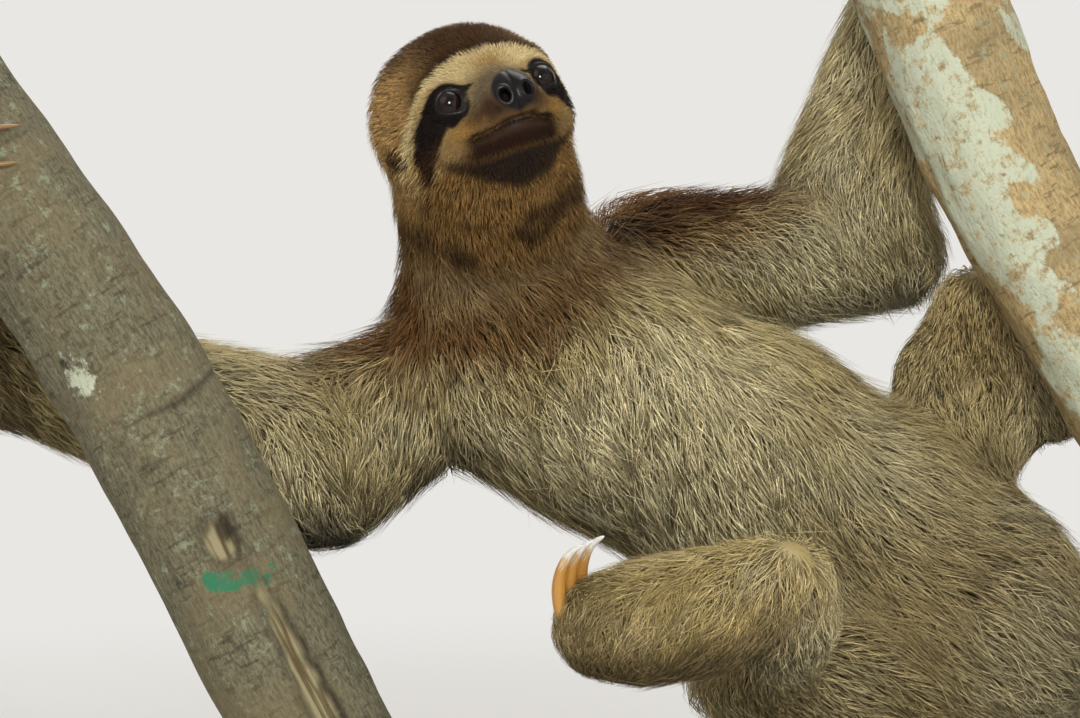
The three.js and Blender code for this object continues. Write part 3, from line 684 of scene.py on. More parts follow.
def body_markings(p, n, share, c):
    """Colour of the coat behind the head."""
    broad, patch, fine = (waves(p, size, seed)[0] for size, seed in ((60, 3), (26, 4), (9, 5)))
    tone = mix(c["buff"], c["pale"], ramp(broad, -0.2, 0.9))
    tone = mix(tone, c["grey"], 0.8 * ramp(patch, 0.1, 0.9))
    tone = mix(tone, c["umber"], 0.6 * ramp(patch + 0.4 * fine, -0.35, -1.1))
    belly = part_share(share, *TRUNK) * ramp(n[:, 1], -0.4, -0.9)
    legs = part_share(share, "thigh_right", "rump", "thigh_left", "shank_right")
    tone = mix(tone, c["tan"], 0.35 * legs * ramp(broad, 0.5, -0.5))
    foot = part_share(share, "foot_right")
    tone = mix(tone, c["golden"], foot * ramp(fine, -1.1, 0.3))
    tone = mix(tone, c["straw"], 0.6 * foot * ramp(patch + 0.5 * fine, 0.1, 0.9))
    # Painted shade: the foot's underside is darkened towards umber.
    tone = mix(tone, c["umber"], 0.85 * foot * ramp(n[:, 2] + 0.25 * fine, 0.0, -0.6))
    tone = mix(tone, c["umber"], 0.6 * foot * ramp(p[:, 0] + 9 * fine, -62, -92))
    tone = mix(tone, c["tan"], 0.5 * part_share(share, "foot_left", "hand_left", "hand_right"))

    arms = part_share(share, "forearm_left") + 0.5 * part_share(share, "upper_arm_right")
    tone = mix(tone, c["pale"], 0.5 * arms * ramp(patch, -1, 0.6))
    far = part_share(share, "forearm_right", "hand_right") * ramp(p[:, 0], -322, -350)
    # Painted shade: rump and thighs are darkened towards umber.
    behind = 0.5 * part_share(share, "rump") + 0.25 * part_share(share, "thigh_right", "thigh_left")
    tone = mix(tone, c["umber"], 0.9 * far + behind)
    tone = mix(tone, c["grey"], 0.5 * part_share(share, "upper_arm_left") * ramp(p[:, 0], -20, 30))

    edge = p[:, 2] - np.interp(p[:, 0], MANTLE_X, MANTLE_Z) + 7 * fine + 6 * patch
    tone = mix(tone, c["pale"], 0.95 * belly * ramp(edge, -20, -40) * ramp(p[:, 0], 30, -20))
    high = part_share(share, "neck", "thorax", "upper_arm_right", "upper_arm_left")
    mantle = np.maximum(ramp(edge, -22, 12) * high, 0.95 * (part_share(share, "neck") + share[:, -1]))
    brown = mix(c["brown"], c["tan"], 0.45 * ramp(edge, 16, -14))
    brown = mix(brown, c["dark_brown"], ramp(p[:, 0] + 30 * patch, -85, -45) * ramp(edge, -4, 17))
    # Folds of the neck: painted shade as dark lines round it, between golden ones.
    folds = waves(p * vec(0.35, 0.35, 1), 8, 6)[0]
    brown = mix(brown, c["tan"], 0.4 * ramp(fine + patch, 0.2, 1.3))
    brown = mix(brown, c["fringe"], 0.6 * ramp(folds, 0.5, 1.3))
    tone = mix(tone, brown, mantle)

    spine = part_share(share, *TRUNK) * ramp(n[:, 1], 0.9, 0.985)
    tone = mix(tone, c["dark_brown"], 0.8 * spine)
    flank = part_share(share, *TRUNK) * bump(n[:, 1], 0.72, 0.16) * ramp(patch, 0, 0.6)
    tone = mix(tone, c["straw"], 0.7 * flank)

    # Painted shade: undersides, most of all under the right elbow, are darkened towards the fringe
    # colour, which is partly shaggy dark hair and partly shade.
    below = ramp(-n[:, 2], 0.4, 0.9)
    elbow = part_share(share, "upper_arm_right", "forearm_right") * ramp(p[:, 0], -330, -260)
    tone = mix(tone, c["fringe"], below * (0.3 + 0.62 * elbow))
    return tone


def markings(points, normals, share, coat, face):
    """Colour of skin and hair at points, as linear red, green and blue."""
    tone = body_markings(points, normals, share, colours(coat))
    head = share[:, -1]
    near = np.flatnonzero(head > 0.01)
    head_tone = head_markings(to_head(points[near]), colours(face))
    part = ramp(head[near], 0.15, 0.75)
    tone[near] = tone[near] + (head_tone - tone[near]) * part[:, None]
    x, y, z = points.T
    # Painted shade with dark fur along the creases of jaw and neck, on the front, in the chin's colour.
    folds = np.minimum.reduce([capsule(x, z, *crease) for crease in SHADED_NECK_CREASES])
    folds = ramp(folds + 4 * waves(points, 5, 37)[0], 3, -3) * ramp(y, -15, -30)
    return mix(tone, colours(face)["chin"], 0.75 * folds)


# ------------------------------------------------------------------ meshes
def new_piece(name, points, faces, materials, replaces=(), smooth=True):
    """A mesh piece from points in millimetres, which rides on the model's one body."""
    mesh = bpy.data.meshes.new(name)
    fill_mesh(mesh, np.asarray(points) * MM, faces)
    mesh.polygons.foreach_set("use_smooth", np.full(len(mesh.polygons), smooth))
    for made in materials:
        mesh.materials.append(made)
    piece = bpy.data.objects.new(name, mesh)
    bpy.context.scene.collection.objects.link(piece)
    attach(piece, "root")
    if replaces:
        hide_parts(*replaces)
    return piece


def fill_mesh(mesh, points, faces):
    """Fills mesh from an array of points and arrays of faces, each array of one size."""
    groups = [np.asarray(group) for group in faces if len(group)]
    sizes = np.concatenate([np.full(len(group), group.shape[1]) for group in groups])
    corners = np.concatenate([group.reshape(-1) for group in groups])
    mesh.vertices.add(len(points))
    mesh.vertices.foreach_set("co", points.astype(np.float32).ravel())
    mesh.loops.add(len(corners))
    mesh.loops.foreach_set("vertex_index", corners.astype(np.int32))
    mesh.polygons.add(len(sizes))
    starts = np.concatenate([[0], np.cumsum(sizes)[:-1]])
    mesh.polygons.foreach_set("loop_start", starts.astype(np.int32))
    mesh.update(calc_edges=True)
    mesh.validate()


def store(mesh, name, values):
    """Stores a number, vector or colour for each point of mesh."""
    values = np.asarray(values, np.float32)
    if values.ndim == 1:
        mesh.attributes.new(name, "FLOAT", "POINT").data.foreach_set("value", values)
        return
    if name == "tint":
        values = np.concatenate([values, np.ones_like(values[:, :1])], axis=1)
        mesh.attributes.new(name, "FLOAT_COLOR", "POINT").data.foreach_set("color", values.ravel())
        return
    mesh.attributes.new(name, "FLOAT_VECTOR", "POINT").data.foreach_set("vector", values.ravel())


def points_of(mesh):
    found = np.empty(len(mesh.vertices) * 3, np.float32)
    mesh.vertices.foreach_get("co", found)
    return found.reshape(-1, 3) / MM


def tube(centres, sideways, upward, radii):
    """A closed tube round centres. radii is (rings, sides); sideways and upward are the
    axes of each ring."""
    angle = np.arange(radii.shape[1]) * 2 * math.pi / radii.shape[1]
    rows = (
        centres[:, None]
        + sideways[:, None] * (np.cos(angle) * radii)[..., None]
        + upward[:, None] * (np.sin(angle) * radii)[..., None]
    )
    return closed(rows, [centres[0], centres[-1]])


def closed(rows, ends):
    """Points, quads and end faces of a closed solid whose faces look outwards, from rings
    of points, as an array of (rings, sides, 3), and the middle points of its two ends."""
    rings, sides = rows.shape[:2]
    points = np.concatenate([rows.reshape(-1, 3), ends])
    ring = np.arange(sides)
    turn = np.roll(ring, -1)
    starts = np.arange(rings - 1)[:, None] * sides
    a, b = (starts + ring).ravel(), (starts + turn).ravel()
    quads = np.stack([a, b, b + sides, a + sides], axis=1)
    last = (rings - 1) * sides
    caps = np.concatenate(
        [
            np.c_[turn, ring, np.full(sides, rings * sides)],
            np.c_[last + ring, last + turn, np.full(sides, rings * sides + 1)],
        ]
    )
    tris = np.concatenate([quads[:, [0, 1, 2]], quads[:, [0, 2, 3]], caps])
    a, b, c = (points[tris[:, i]] for i in range(3))
    if dot(a, np.cross(b, c)).sum() < 0:
        quads, caps = quads[:, ::-1], caps[:, ::-1]
    return points, quads, caps


# ------------------------------------------------------------------ tufts
PATCH = 0.003  # each tuft's patch on the coat's map
ROOT_SUNK = 0.6
# Tufts are drawn together into locks: how strongly, and how large the locks are.
LOCK_PULL = 0.062
FACE_LOCK = 3.0
BODY_LOCK = 8.0
# A tuft runs from its root, over a ring of three points half-way, to its tip: how high ring
# and tip stand, as a share of the coat's depth, and how light root, ring and tip are.
RISE = (0.8, 0.98)
TINT = (0.74, 1.0, 1.1)


def lie_of_coat(points, normals, share):
    """Which way the hairs lie at points: away from the face, up the limbs, down the body."""
    q = to_head(points)
    away = unit(q - vec(0, 44, -20) - vec(0, 0, 1) * 6) @ HEAD_AXES
    # Hair on an upper side has nowhere to fall to.
    fall = (share[:, :-1] @ FALL) * (1 - 0.9 * ramp(normals[:, 2], 0.1, 0.85))
    flow = share[:, :-1] @ LIE + fall[:, None] * DOWN + share[:, -1:] * (away + 0.25 * DOWN)
    wander = np.stack([waves(points, 34, 40 + i)[0] for i in range(3)], axis=-1)
    ripple = np.stack([waves(points, 11, 50 + i)[0] for i in range(3)], axis=-1)
    loose = 1 - 0.6 * share[:, -1:]
    flow = flow + loose * (0.3 * wander + 0.22 * ripple)
    return unit(flow - dot(flow, normals)[:, None] * normals)


def off_bark(place, gap=1.2):
    """Pushes points that lie in or against the bark out to a gap from it."""
    bark = perch_distance(place)
    near = np.flatnonzero(bark < gap)
    if len(near):
        step = 0.5
        slope = np.stack(
            [perch_distance(place[near] + step * a) - bark[near] for a in np.eye(3)], axis=-1
        )
        place[near] += unit(slope) * (gap - bark[near])[:, None]
    return place


def grow(flesh, roots, normals, share, length, height, width, yaw, lock):
    """Closed spikes of three sides that follow the lie of the coat over the skin, each
    turned aside by its own yaw: rows of root, left, right and top points, and tip."""
    place, normal = roots - normals * ROOT_SUNK, normals
    rows = [place]
    for step, rise in enumerate(RISE, 1):
        ahead = lie_of_coat(place, normal, share)
        ahead = ahead * np.cos(yaw) + np.cross(normal, ahead) * np.sin(yaw)
        place = place + ahead * (length / 2)[:, None]
        normal = flesh.normal(place)
        pull = waves(place, lock, 61)[1] * (LOCK_PULL * lock * step**2)
        pull = pull - dot(pull, normal)[:, None] * normal
        place = place - pull * np.minimum(1, 0.25 * length / lock)[:, None]
        lift = height * rise * (1 - 0.14 * share[:, -1])
        place = place + normal * (lift - flesh.height(place))[:, None]
        place = off_bark(place)
        if step == 1:
            aside = unit(np.cross(ahead, normal))
            half = (width * 0.5)[:, None]
            rows += [place - aside * half, place + aside * half, place + normal * half * 0.8]
            share = shares(place)
    rows.append(place)
    return np.stack(rows, axis=1)


def shares(points):
    found = []
    for part in in_chunks(points):
        head = head_distance(to_head(part), TIP_BLENDS[0], False)
        found.append(influence(bone_distances(part), head))
    return np.concatenate(found)


def tuft_faces(count):
    """Faces of count tufts, whose points are a root, left, right and top, and a tip."""
    root, left, right, top, tip = range(5)
    sides = ((right, top), (top, left), (left, right))
    tris = [(root, a, b) for a, b in sides] + [(tip, b, a) for a, b in sides]
    offsets = (np.arange(count) * 5)[:, None, None]
    return (np.array(tris) + offsets).reshape(-1, 3)


def unwrap(points, bones):
    """Where points lie on an unwrap of the skin round some bones, or round the head."""
    q = to_head(points)
    if bones is None:
        polar = np.arccos(np.clip(unit(q)[:, 1], -1, 1)) / math.pi
        turn = np.arctan2(q[:, 2], q[:, 0])
        return 0.5 + 0.485 * np.stack([polar * np.cos(turn), polar * np.sin(turn)], axis=1)
    distances = bone_distances(points)[:, bones]
    chosen = np.array(bones)[distances.argmin(axis=1)]
    axis = unit(END - START)[chosen]
    side = unit(np.cross(axis, vec(0.3, 0.2, 1)))
    rel = points - START[chosen]
    along = dot(rel, axis) / np.linalg.norm(END - START, axis=1)[chosen]
    turn = np.arctan2(dot(rel, np.cross(axis, side)), dot(rel, side)) / (2 * math.pi) + 0.5
    row = distances.argmin(axis=1)
    reach = np.clip((along + 0.5) / 2, 0, 1)
    return np.stack([0.01 + 0.97 * turn, (row + 0.02 + 0.94 * reach) / len(bones)], axis=1)


def scatter(corners, normals, wanted, spacing, random):
    """Points about spacing apart on triangles, where wanted says so, with their normals."""
    sides = corners[:, 1] - corners[:, 0], corners[:, 2] - corners[:, 0]
    area = np.linalg.norm(np.cross(*sides), axis=1) * wanted
    count = int(area.sum() / 2 / spacing**2 * 3)
    pick = random.choice(len(area), count, p=area / area.sum())
    a, b = random.random((2, count, 1))
    swap = a + b > 1
    a, b = np.where(swap, 1 - a, a), np.where(swap, 1 - b, b)
    parts = (1 - a - b, a, b)
    points = sum(part * corners[pick, i] for i, part in enumerate(parts))
    normal = unit(sum(part * normals[pick, i] for i, part in enumerate(parts)))
    cell = np.floor(points / spacing).astype(np.int64)
    key = (cell[:, 0] * 4001 + cell[:, 1]) * 4001 + cell[:, 2]
    first = np.unique(key, return_index=True)[1]
    return points[first], normal[first]


# ------------------------------------------------------------------ materials
def add(tree, kind, inputs=None, **settings):
    """Adds a node with its settings. An input is a value, or a socket to link from."""
    made = tree.nodes.new(kind)
    for name, value in settings.items():
        setattr(made, name, value)
    for name, value in (inputs or {}).items():
        socket = made.inputs[name]
        if isinstance(value, bpy.types.NodeSocket):
            tree.links.new(value, socket)
        else:
            socket.default_value = value
    return made


def start_material(name):
    made = bpy.data.materials.new(name)
    made.use_nodes = True
    made.node_tree.nodes.clear()
    return made, made.node_tree


def end_material(tree, **inputs):
    """Adds the shader and output. Underscores stand for the spaces of socket names."""
    inputs = {name.replace("_", " "): value for name, value in inputs.items()}
    shader = add(tree, "ShaderNodeBsdfPrincipled", inputs)
    add(tree, "ShaderNodeOutputMaterial", {"Surface": shader.outputs["BSDF"]})


def rgba(colour):
    return (*colour, 1.0)


def per_metre(millimetres):
    """Noise scale whose features are about this many millimetres across."""
    return 1000 / millimetres


def blend(tree, factor, a, b, mode="MIX"):
    """A colour mix's result. a and b are colours or sockets."""
    made = add(tree, "ShaderNodeMix", data_type="RGBA", blend_type=mode)
    for socket, value in ((made.inputs[0], factor), (made.inputs[6], a), (made.inputs[7], b)):
        if isinstance(value, bpy.types.NodeSocket):
            tree.links.new(value, socket)
        elif socket.type == "RGBA":
            socket.default_value = rgba(value)
        else:
            socket.default_value = value
    return made.outputs[2]


def mottle(tree, noise, darkest, lightest):
    """A grey to multiply a colour by, which varies with a noise."""
    limits = {"From Min": 0.3, "From Max": 0.7, "To Min": darkest, "To Max": lightest}
    level = add(tree, "ShaderNodeMapRange", {"Value": noise.outputs[0], **limits}).outputs[0]
    channels = {channel: level for channel in ("Red", "Green", "Blue")}
    return add(tree, "ShaderNodeCombineColor", channels).outputs[0]


def hair_material():
    """Coarse, dry guard hair, grown and worn: matt, with a faint shine along each lock."""
    made, tree = start_material("guard_hair")
    tint = add(tree, "ShaderNodeAttribute", attribute_name="tint").outputs["Color"]
    place = add(tree, "ShaderNodeTexCoord").outputs["Object"]
    # Single hairs are about 0.1 mm; their light and dark is drawn at 0.9 mm so that it shows.
    noise = add(
        tree, "ShaderNodeTexNoise", {"Vector": place, "Scale": per_metre(0.9), "Detail": 1.0}
    )
    colour = blend(tree, 1.0, tint, mottle(tree, noise, 0.82, 1.16), "MULTIPLY")
    end_material(tree, Base_Color=colour, Roughness=0.6, IOR=1.45, Specular_IOR_Level=0.18)
    return made


def hide_material():
    """Skin: matt hide under the coat, and damp pebbled leather on nose, lids and lips."""
    made, tree = start_material("hide_and_nose_leather")
    tint = add(tree, "ShaderNodeAttribute", attribute_name="tint").outputs["Color"]
    wet = add(tree, "ShaderNodeAttribute", attribute_name="wet").outputs["Fac"]
    place = add(tree, "ShaderNodeTexCoord").outputs["Object"]
    # The nose's pebbles are about 0.7 mm across.
    pebbles = add(
        tree,
        "ShaderNodeTexVoronoi",
        {"Vector": place, "Scale": per_metre(0.7)},
        feature="SMOOTH_F1",
    )
    rough = add(
        tree,
        "ShaderNodeMapRange",
        {"Value": wet, "To Min": 0.75, "To Max": 0.32},
    )
    relief = add(
        tree,
        "ShaderNodeBump",
        {"Strength": 0.3, "Distance": 0.0002, "Height": pebbles.outputs["Distance"]},
    )
    end_material(
        tree,
        Base_Color=tint,
        Roughness=rough.outputs[0],
        IOR=1.4,
        Specular_IOR_Level=0.2,
        Normal=relief.outputs[0],
    )
    return made


def eye_material(c):
    """A dark brown iris under a clear wet cornea: deep colour and one sharp highlight."""
    made, tree = start_material("iris_under_cornea")
    ring = add(tree, "ShaderNodeAttribute", attribute_name="ring").outputs["Fac"]
    place = add(tree, "ShaderNodeTexCoord").outputs["Object"]
    # The iris's fibres are about 0.5 mm apart.
    fibres = add(
        tree, "ShaderNodeTexNoise", {"Vector": place, "Scale": per_metre(0.5), "Detail": 2.0}
    )
    stops = add(tree, "ShaderNodeValToRGB", {"Fac": ring})
    marks = stops.color_ramp.elements
    for place_on, name in ((0.15, "pupil"), (0.2, "iris"), (0.34, "iris"), (0.41, "rim")):
        marks.new(place_on).color = rgba(getattr(c, name))
    marks[0].color = rgba(c.pupil)
    marks[-1].color = rgba(c.rim)
    colour = blend(tree, 1.0, stops.outputs[0], mottle(tree, fibres, 0.6, 1.3), "MULTIPLY")
    end_material(
        tree,
        Base_Color=colour,
        Roughness=0.3,
        IOR=1.38,
        Specular_IOR_Level=0.0,
        Coat_Weight=1.0,
        Coat_Roughness=0.03,
        Coat_IOR=1.28,
    )
    return made


def claw_material(c):
    """Horn, grown in layers and worn at the tip: amber depth, pale scuffed point, satin."""
    made, tree = start_material("worn_horn")
    along = add(tree, "ShaderNodeAttribute", attribute_name="along").outputs["Fac"]
    grain = add(tree, "ShaderNodeAttribute", attribute_name="grain").outputs["Vector"]
    # Growth fibres run lengthwise, about 0.8 mm wide.
    fibres = add(
        tree, "ShaderNodeTexNoise", {"Vector": grain, "Scale": per_metre(0.8), "Detail": 3.0}
    )
    worn = add(
        tree,
        "ShaderNodeMath",
        {0: fibres.outputs[0], 1: 0.45, 2: along},
        operation="MULTIPLY_ADD",
    )
    stops = add(tree, "ShaderNodeValToRGB", {"Fac": worn.outputs[0]})
    marks = stops.color_ramp.elements
    marks[0].position, marks[0].color = 0.2, rgba(c.root)
    marks[1].position, marks[1].color = 1.0, rgba(c.tip)
    for place_on, name in ((0.45, "horn"), (0.86, "horn"), (0.95, "worn")):
        marks.new(place_on).color = rgba(getattr(c, name))
    relief = add(
        tree, "ShaderNodeBump", {"Strength": 0.3, "Distance": 0.0003, "Height": fibres.outputs[0]}
    )
    end_material(
        tree,
        Base_Color=stops.outputs[0],
        Roughness=0.36,
        IOR=1.54,
        Normal=relief.outputs[0],
        Subsurface_Weight=0.15,
        Subsurface_Scale=0.002,
    )
    return made


def bark_material(name, c, dark, light):
    """Smooth tropical bark, weathered: fine fissures and wrinkles, lichen, moss and scars."""
    made, tree = start_material(name)
    grain = add(tree, "ShaderNodeAttribute", attribute_name="grain").outputs["Vector"]
    marks = {
        mark: add(tree, "ShaderNodeAttribute", attribute_name=mark).outputs["Fac"]
        for mark in ("crack", "wood", "lichen", "moss")
    }
    # Fissures are about 1.5 mm apart and run lengthwise, wrinkles 3 mm apart and run round,
    # stains are about 45 mm across, specks 6 mm, and the bare wood's grain 2 mm.
    long, flat, straight = (
        add(tree, "ShaderNodeVectorMath", {0: grain, 1: stretch}, operation="MULTIPLY").outputs[0]
        for stretch in ((1, 1, 0.4), (0.22, 0.22, 1), (1, 1, 0.06))
    )
    streaks, wrinkles, clouds, specks, fibres = (
        add(
            tree,
            "ShaderNodeTexNoise",
            {"Vector": at, "Scale": per_metre(size), "Detail": detail, "Roughness": rough},
        ).outputs[0]
        for at, size, detail, rough in (
            (long, 1.5, 4.0, 0.75),
            (flat, 3, 3.0, 0.6),
            (grain, 45, 4.0, 0.6),
            (grain, 6, 4.0, 0.75),
            (straight, 2, 3.0, 0.5),
        )
    )

    def share(value, low, high):
        limits = {"Value": value, "From Min": low, "From Max": high}
        return add(tree, "ShaderNodeMapRange", limits, interpolation_type="SMOOTHSTEP").outputs[0]

    colour = blend(tree, share(streaks, 0.3, 0.66), dark, light)
    colour = blend(tree, share(wrinkles, 0.43, 0.34), colour, blend(tree, 0.45, colour, c.crack))
    colour = blend(tree, share(clouds, 0.42, 0.66), colour, blend(tree, 0.55, colour, c.ochre))
    colour = blend(tree, share(specks, 0.56, 0.68), colour, blend(tree, 0.6, colour, c.spot))
    crust = blend(tree, share(streaks, 0.25, 0.5), c.lichen, c.pale)
    for mark, growth in (("lichen", crust), ("moss", c.moss)):
        inputs = {0: specks, 1: 0.9, 2: marks[mark]}
        frayed = add(tree, "ShaderNodeMath", inputs, operation="MULTIPLY_ADD").outputs[0]
        colour = blend(tree, share(frayed, 0.84, 1.02), colour, growth)
    wood = blend(tree, share(fibres, 0.35, 0.62), c.wood_dark, c.wood)
    colour = blend(tree, marks["wood"], colour, wood)
    colour = blend(tree, marks["crack"], colour, c.crack)
    relief = add(
        tree, "ShaderNodeBump", {"Strength": 0.9, "Distance": 0.0013, "Height": streaks}
    )
    relief = add(
        tree,
        "ShaderNodeBump",
        {"Strength": 0.6, "Distance": 0.0012, "Height": wrinkles, "Normal": relief.outputs[0]},
    )
    end_material(
        tree,
        Base_Color=colour,
        Roughness=0.88,
        IOR=1.4,
        Specular_IOR_Level=0.25,
        Normal=relief.outputs[0],
    )
    return made


def end_grain_material(c):
    """Sawn green hardwood: growth rings and a rough saw-cut face."""
    made, tree = start_material("sawn_end_grain")
    grain = add(tree, "ShaderNodeAttribute", attribute_name="grain").outputs["Vector"]
    # Growth rings are about 3 mm apart, which this node draws at a third of its scale.
    rings = add(
        tree,
        "ShaderNodeTexWave",
        {"Vector": grain, "Scale": per_metre(10), "Distortion": 1.5, "Detail": 2.0},
        wave_type="RINGS",
        rings_direction="Z",
    ).outputs["Fac"]
    saw = add(
        tree, "ShaderNodeTexNoise", {"Vector": grain, "Scale": per_metre(1.5), "Detail": 3.0}
    ).outputs[0]
    relief = add(tree, "ShaderNodeBump", {"Strength": 0.4, "Distance": 0.0005, "Height": saw})
    end_material(
        tree,
        Base_Color=blend(tree, rings, c.wood, c.wood_dark),
        Roughness=0.8,
        Normal=relief.outputs[0],
    )
    return made


def steel_material(c):
    """Stainless steel, brushed round: soft stretched highlights and fine rings."""
    made, tree = start_material("brushed_stainless_steel")
    place = add(tree, "ShaderNodeTexCoord").outputs["Object"]
    flat = add(tree, "ShaderNodeVectorMath", {0: place, 1: (0.05, 0.05, 1)}, operation="MULTIPLY")
    # Brush lines are drawn 0.5 mm apart, coarser than real, so that they show.
    lines = add(
        tree,
        "ShaderNodeTexNoise",
        {"Vector": flat.outputs[0], "Scale": per_metre(0.5), "Detail": 2.0},
    ).outputs[0]
    rough = add(tree, "ShaderNodeMapRange", {"Value": lines, "To Min": 0.26, "To Max": 0.42})
    relief = add(tree, "ShaderNodeBump", {"Strength": 0.15, "Distance": 0.0001, "Height": lines})
    end_material(
        tree,
        Base_Color=rgba(c.steel),
        Metallic=1.0,
        Roughness=rough.outputs[0],
        Normal=relief.outputs[0],
    )
    return made


def lacquer_material(c):
    """Beech stained near black under satin lacquer: grain shows only as faint pores."""
    made, tree = start_material("stained_beech_satin_lacquer")
    place = add(tree, "ShaderNodeTexCoord").outputs["Object"]
    long = add(tree, "ShaderNodeVectorMath", {0: place, 1: (0.06, 1, 1)}, operation="MULTIPLY")
    # Beech flecks are about 3 mm apart and run lengthwise.
    pores = add(
        tree,
        "ShaderNodeTexNoise",
        {"Vector": long.outputs[0], "Scale": per_metre(3), "Detail": 5.0, "Roughness": 0.65},
    ).outputs[0]
    stain = add(tree, "ShaderNodeMapRange", {"Value": pores, "From Min": 0.35, "From Max": 0.65})
    relief = add(tree, "ShaderNodeBump", {"Strength": 0.12, "Distance": 0.0003, "Height": pores})
    end_material(
        tree,
        Base_Color=blend(tree, stain.outputs[0], c.lacquer_dark, c.lacquer),
        Roughness=0.42,
        IOR=1.5,
        Coat_Weight=0.35,
        Coat_Roughness=0.2,
        Normal=relief.outputs[0],
    )
    return made


# ------------------------------------------------------------------ claws
CLAW_RADIUS = {"hand": 3.7, "foot": 3.5}


def round_perch(side, along, angle, radius):
    """A point round a perch, at an angle from its -X side towards its front."""
    curve = PERCH_CURVES[side]
    place = along / curve.length
    front = vec(0, -1, 0)
    aside = np.cross(front, curve.heading(place))
    aside = unit(-aside if aside[0] > 0 else aside)
    return curve.at(place) + aside * math.cos(angle) * radius + front * math.sin(angle) * radius


def hooked_claws(side, along, lean, start, reach, radii, spacing):
    """Middle lines of three claws hooked round a perch, side by side along it, each from
    the same angle to one of its own."""
    lines = []
    for place, end in zip((-1, 0, 1), reach):
        line = []
        for t in np.linspace(0, 1, 7):
            angle = math.radians(start + (end - start) * t)
            radius = radii[0] + (radii[1] - radii[0]) * math.sqrt(t)
            line.append(round_perch(side, along + place * spacing + lean * t, angle, radius))
        lines.append(Curve(line))
    return lines


def free_claws(place, start, curl, spacing, length, bend):
    """Middle lines of three claws that stand free, each an arc from start towards curl."""
    aside = unit(np.cross(start, curl))
    turns = np.linspace(0, length / bend, 7)[:, None]
    arc = start * np.sin(turns) * bend + curl * (1 - np.cos(turns)) * bend
    return [Curve(place + aside * side * spacing + arc) for side in (-1, 0, 1)]


CLAWS = {
    "hand_right": hooked_claws("right", 107, 34, 2, (118, 131, 114), (44, 37), 13),
    "hand_left": hooked_claws("left", 62, -4, 172, (62, 62, 62), (45, 37), 13),
    "foot_left": hooked_claws("left", 262, 4, -55, (-140, -146, -138), (45, 37), 10),
    "foot_right": free_claws(
        JOINTS["toes_right"] + vec(-8, 0, 1),
        unit(vec(-0.45, 0.15, 0.88)),
        unit(vec(0.55, -0.7, 0.4)),
        6.8,
        47,
        28,
    ),
}


def claw_mesh(curve, root):
    """A claw that keeps its thickness for half its length, then tapers to a blunt point.
    It is a little narrower than deep, with a keel along its outer bend."""
    rings, sides = 34, 20
    t = np.linspace(0, 1, rings)
    centres, ahead = curve.at(t), curve.heading(t)
    inward = unit(curve.at(0.5) * 2 - curve.at(0.0) - curve.at(1.0))
    outward = unit(inward - dot(inward, ahead)[:, None] * ahead)
    aside = np.cross(ahead, outward)
    taper = root * np.minimum(1, np.sqrt(np.maximum(1 - t, 0) * 1.7)) * (1 - 0.25 * t) + 0.1
    angle = np.arange(sides) * 2 * math.pi / sides
    keel = 0.9 + 0.1 * np.maximum(np.sin(angle), 0) ** 3 - 0.06 * np.maximum(-np.sin(angle), 0)
    rounds = 1 + 0.012 * np.sin(t * 55)[:, None] * ramp(t, 0.7, 0.3)[:, None]
    points, *faces = tube(centres, aside, outward, taper[:, None] * keel * rounds)
    around = np.tile(angle, rings)
    along = np.concatenate([np.repeat(t, sides), [0, 1]])
    grain = np.stack([np.cos(around), np.sin(around), np.repeat(t, sides)], axis=1)
    grain = np.concatenate([grain, [[0, 0, 0], [0, 0, 1]]]) * vec(root, root, curve.length * 0.15)
    return points, faces, along, grain


# ------------------------------------------------------------------ perches
def perch_mesh(side, relief):
    """The bark of a perch as a dense tube, with its marks as numbers at each point."""
    rings, sides = 300, 132
    curve = PERCH_CURVES[side]
    t = np.linspace(0, 1, rings)
    centres, ahead = curve.at(t), curve.heading(t)
    front = unit(vec(0, -1, 0) - ahead * (ahead @ vec(0, -1, 0))[:, None])
    aside = np.cross(front, ahead)
    aside = np.where(aside[:, :1] > 0, -aside, aside)
    angle = np.arange(sides) * 2 * math.pi / sides
    phase = PERCH_PHASE[side]
    place, turn = t[:, None], angle[None]
    radius = PERCH_RADIUS + 0.9 * np.sin(3 * turn + 5 * place + phase)
    radius = radius + 0.8 * np.sin(2 * turn - 9 * place + 2 * phase) - 1.5 * (1 - place)
    around = np.broadcast_to(turn, radius.shape)
    along = np.broadcast_to(place * curve.length, radius.shape)
    grain = np.stack(
        [np.cos(around) * PERCH_RADIUS, np.sin(around) * PERCH_RADIUS, along], axis=-1
    )
    flat = grain.reshape(-1, 3)
    ridges = waves(flat * vec(1, 1, 0.12), 5, 71)[0] + 0.6 * waves(flat * vec(1, 1, 0.2), 2.4, 72)[0]
    lumps = waves(flat, 14, 73)[0]
    radius = radius + relief * (0.35 * ridges + 0.8 * lumps).reshape(radius.shape)
    marks = PERCH_MARKS[side](along.ravel(), np.degrees(around).ravel(), flat)
    radius = radius + marks.pop("raise").reshape(radius.shape)
    points, quads, caps = tube(centres, aside, front, radius)
    ends = [[0, 0, 0], [0, 0, curve.length]]
    marks = {name: np.concatenate([mark, [0, 0]]) for name, mark in marks.items()}
    marks["grain"] = np.concatenate([flat, ends]) * MM
    return points, quads, caps, marks


def patch(along, turn, flat, place, facing, length, width, edge=0.25):
    """1 inside an oval patch of bark, with a ragged edge."""
    off = (turn - facing + 180) % 360 - 180
    arc = np.radians(off) * PERCH_RADIUS
    spread = np.hypot((along - place) / length, arc / width)
    return ramp(spread + 0.22 * waves(flat, 6, 74)[0], 1 + edge, 1 - edge)


def crack_round(along, turn, flat, place, slant, width=1.3):
    """1 in a crack that runs round the trunk, rising by slant as it goes round."""
    path = place + slant * np.sin(np.radians(turn - 40)) + 3 * waves(flat, 22, 75)[0]
    return bump(along, path, width)


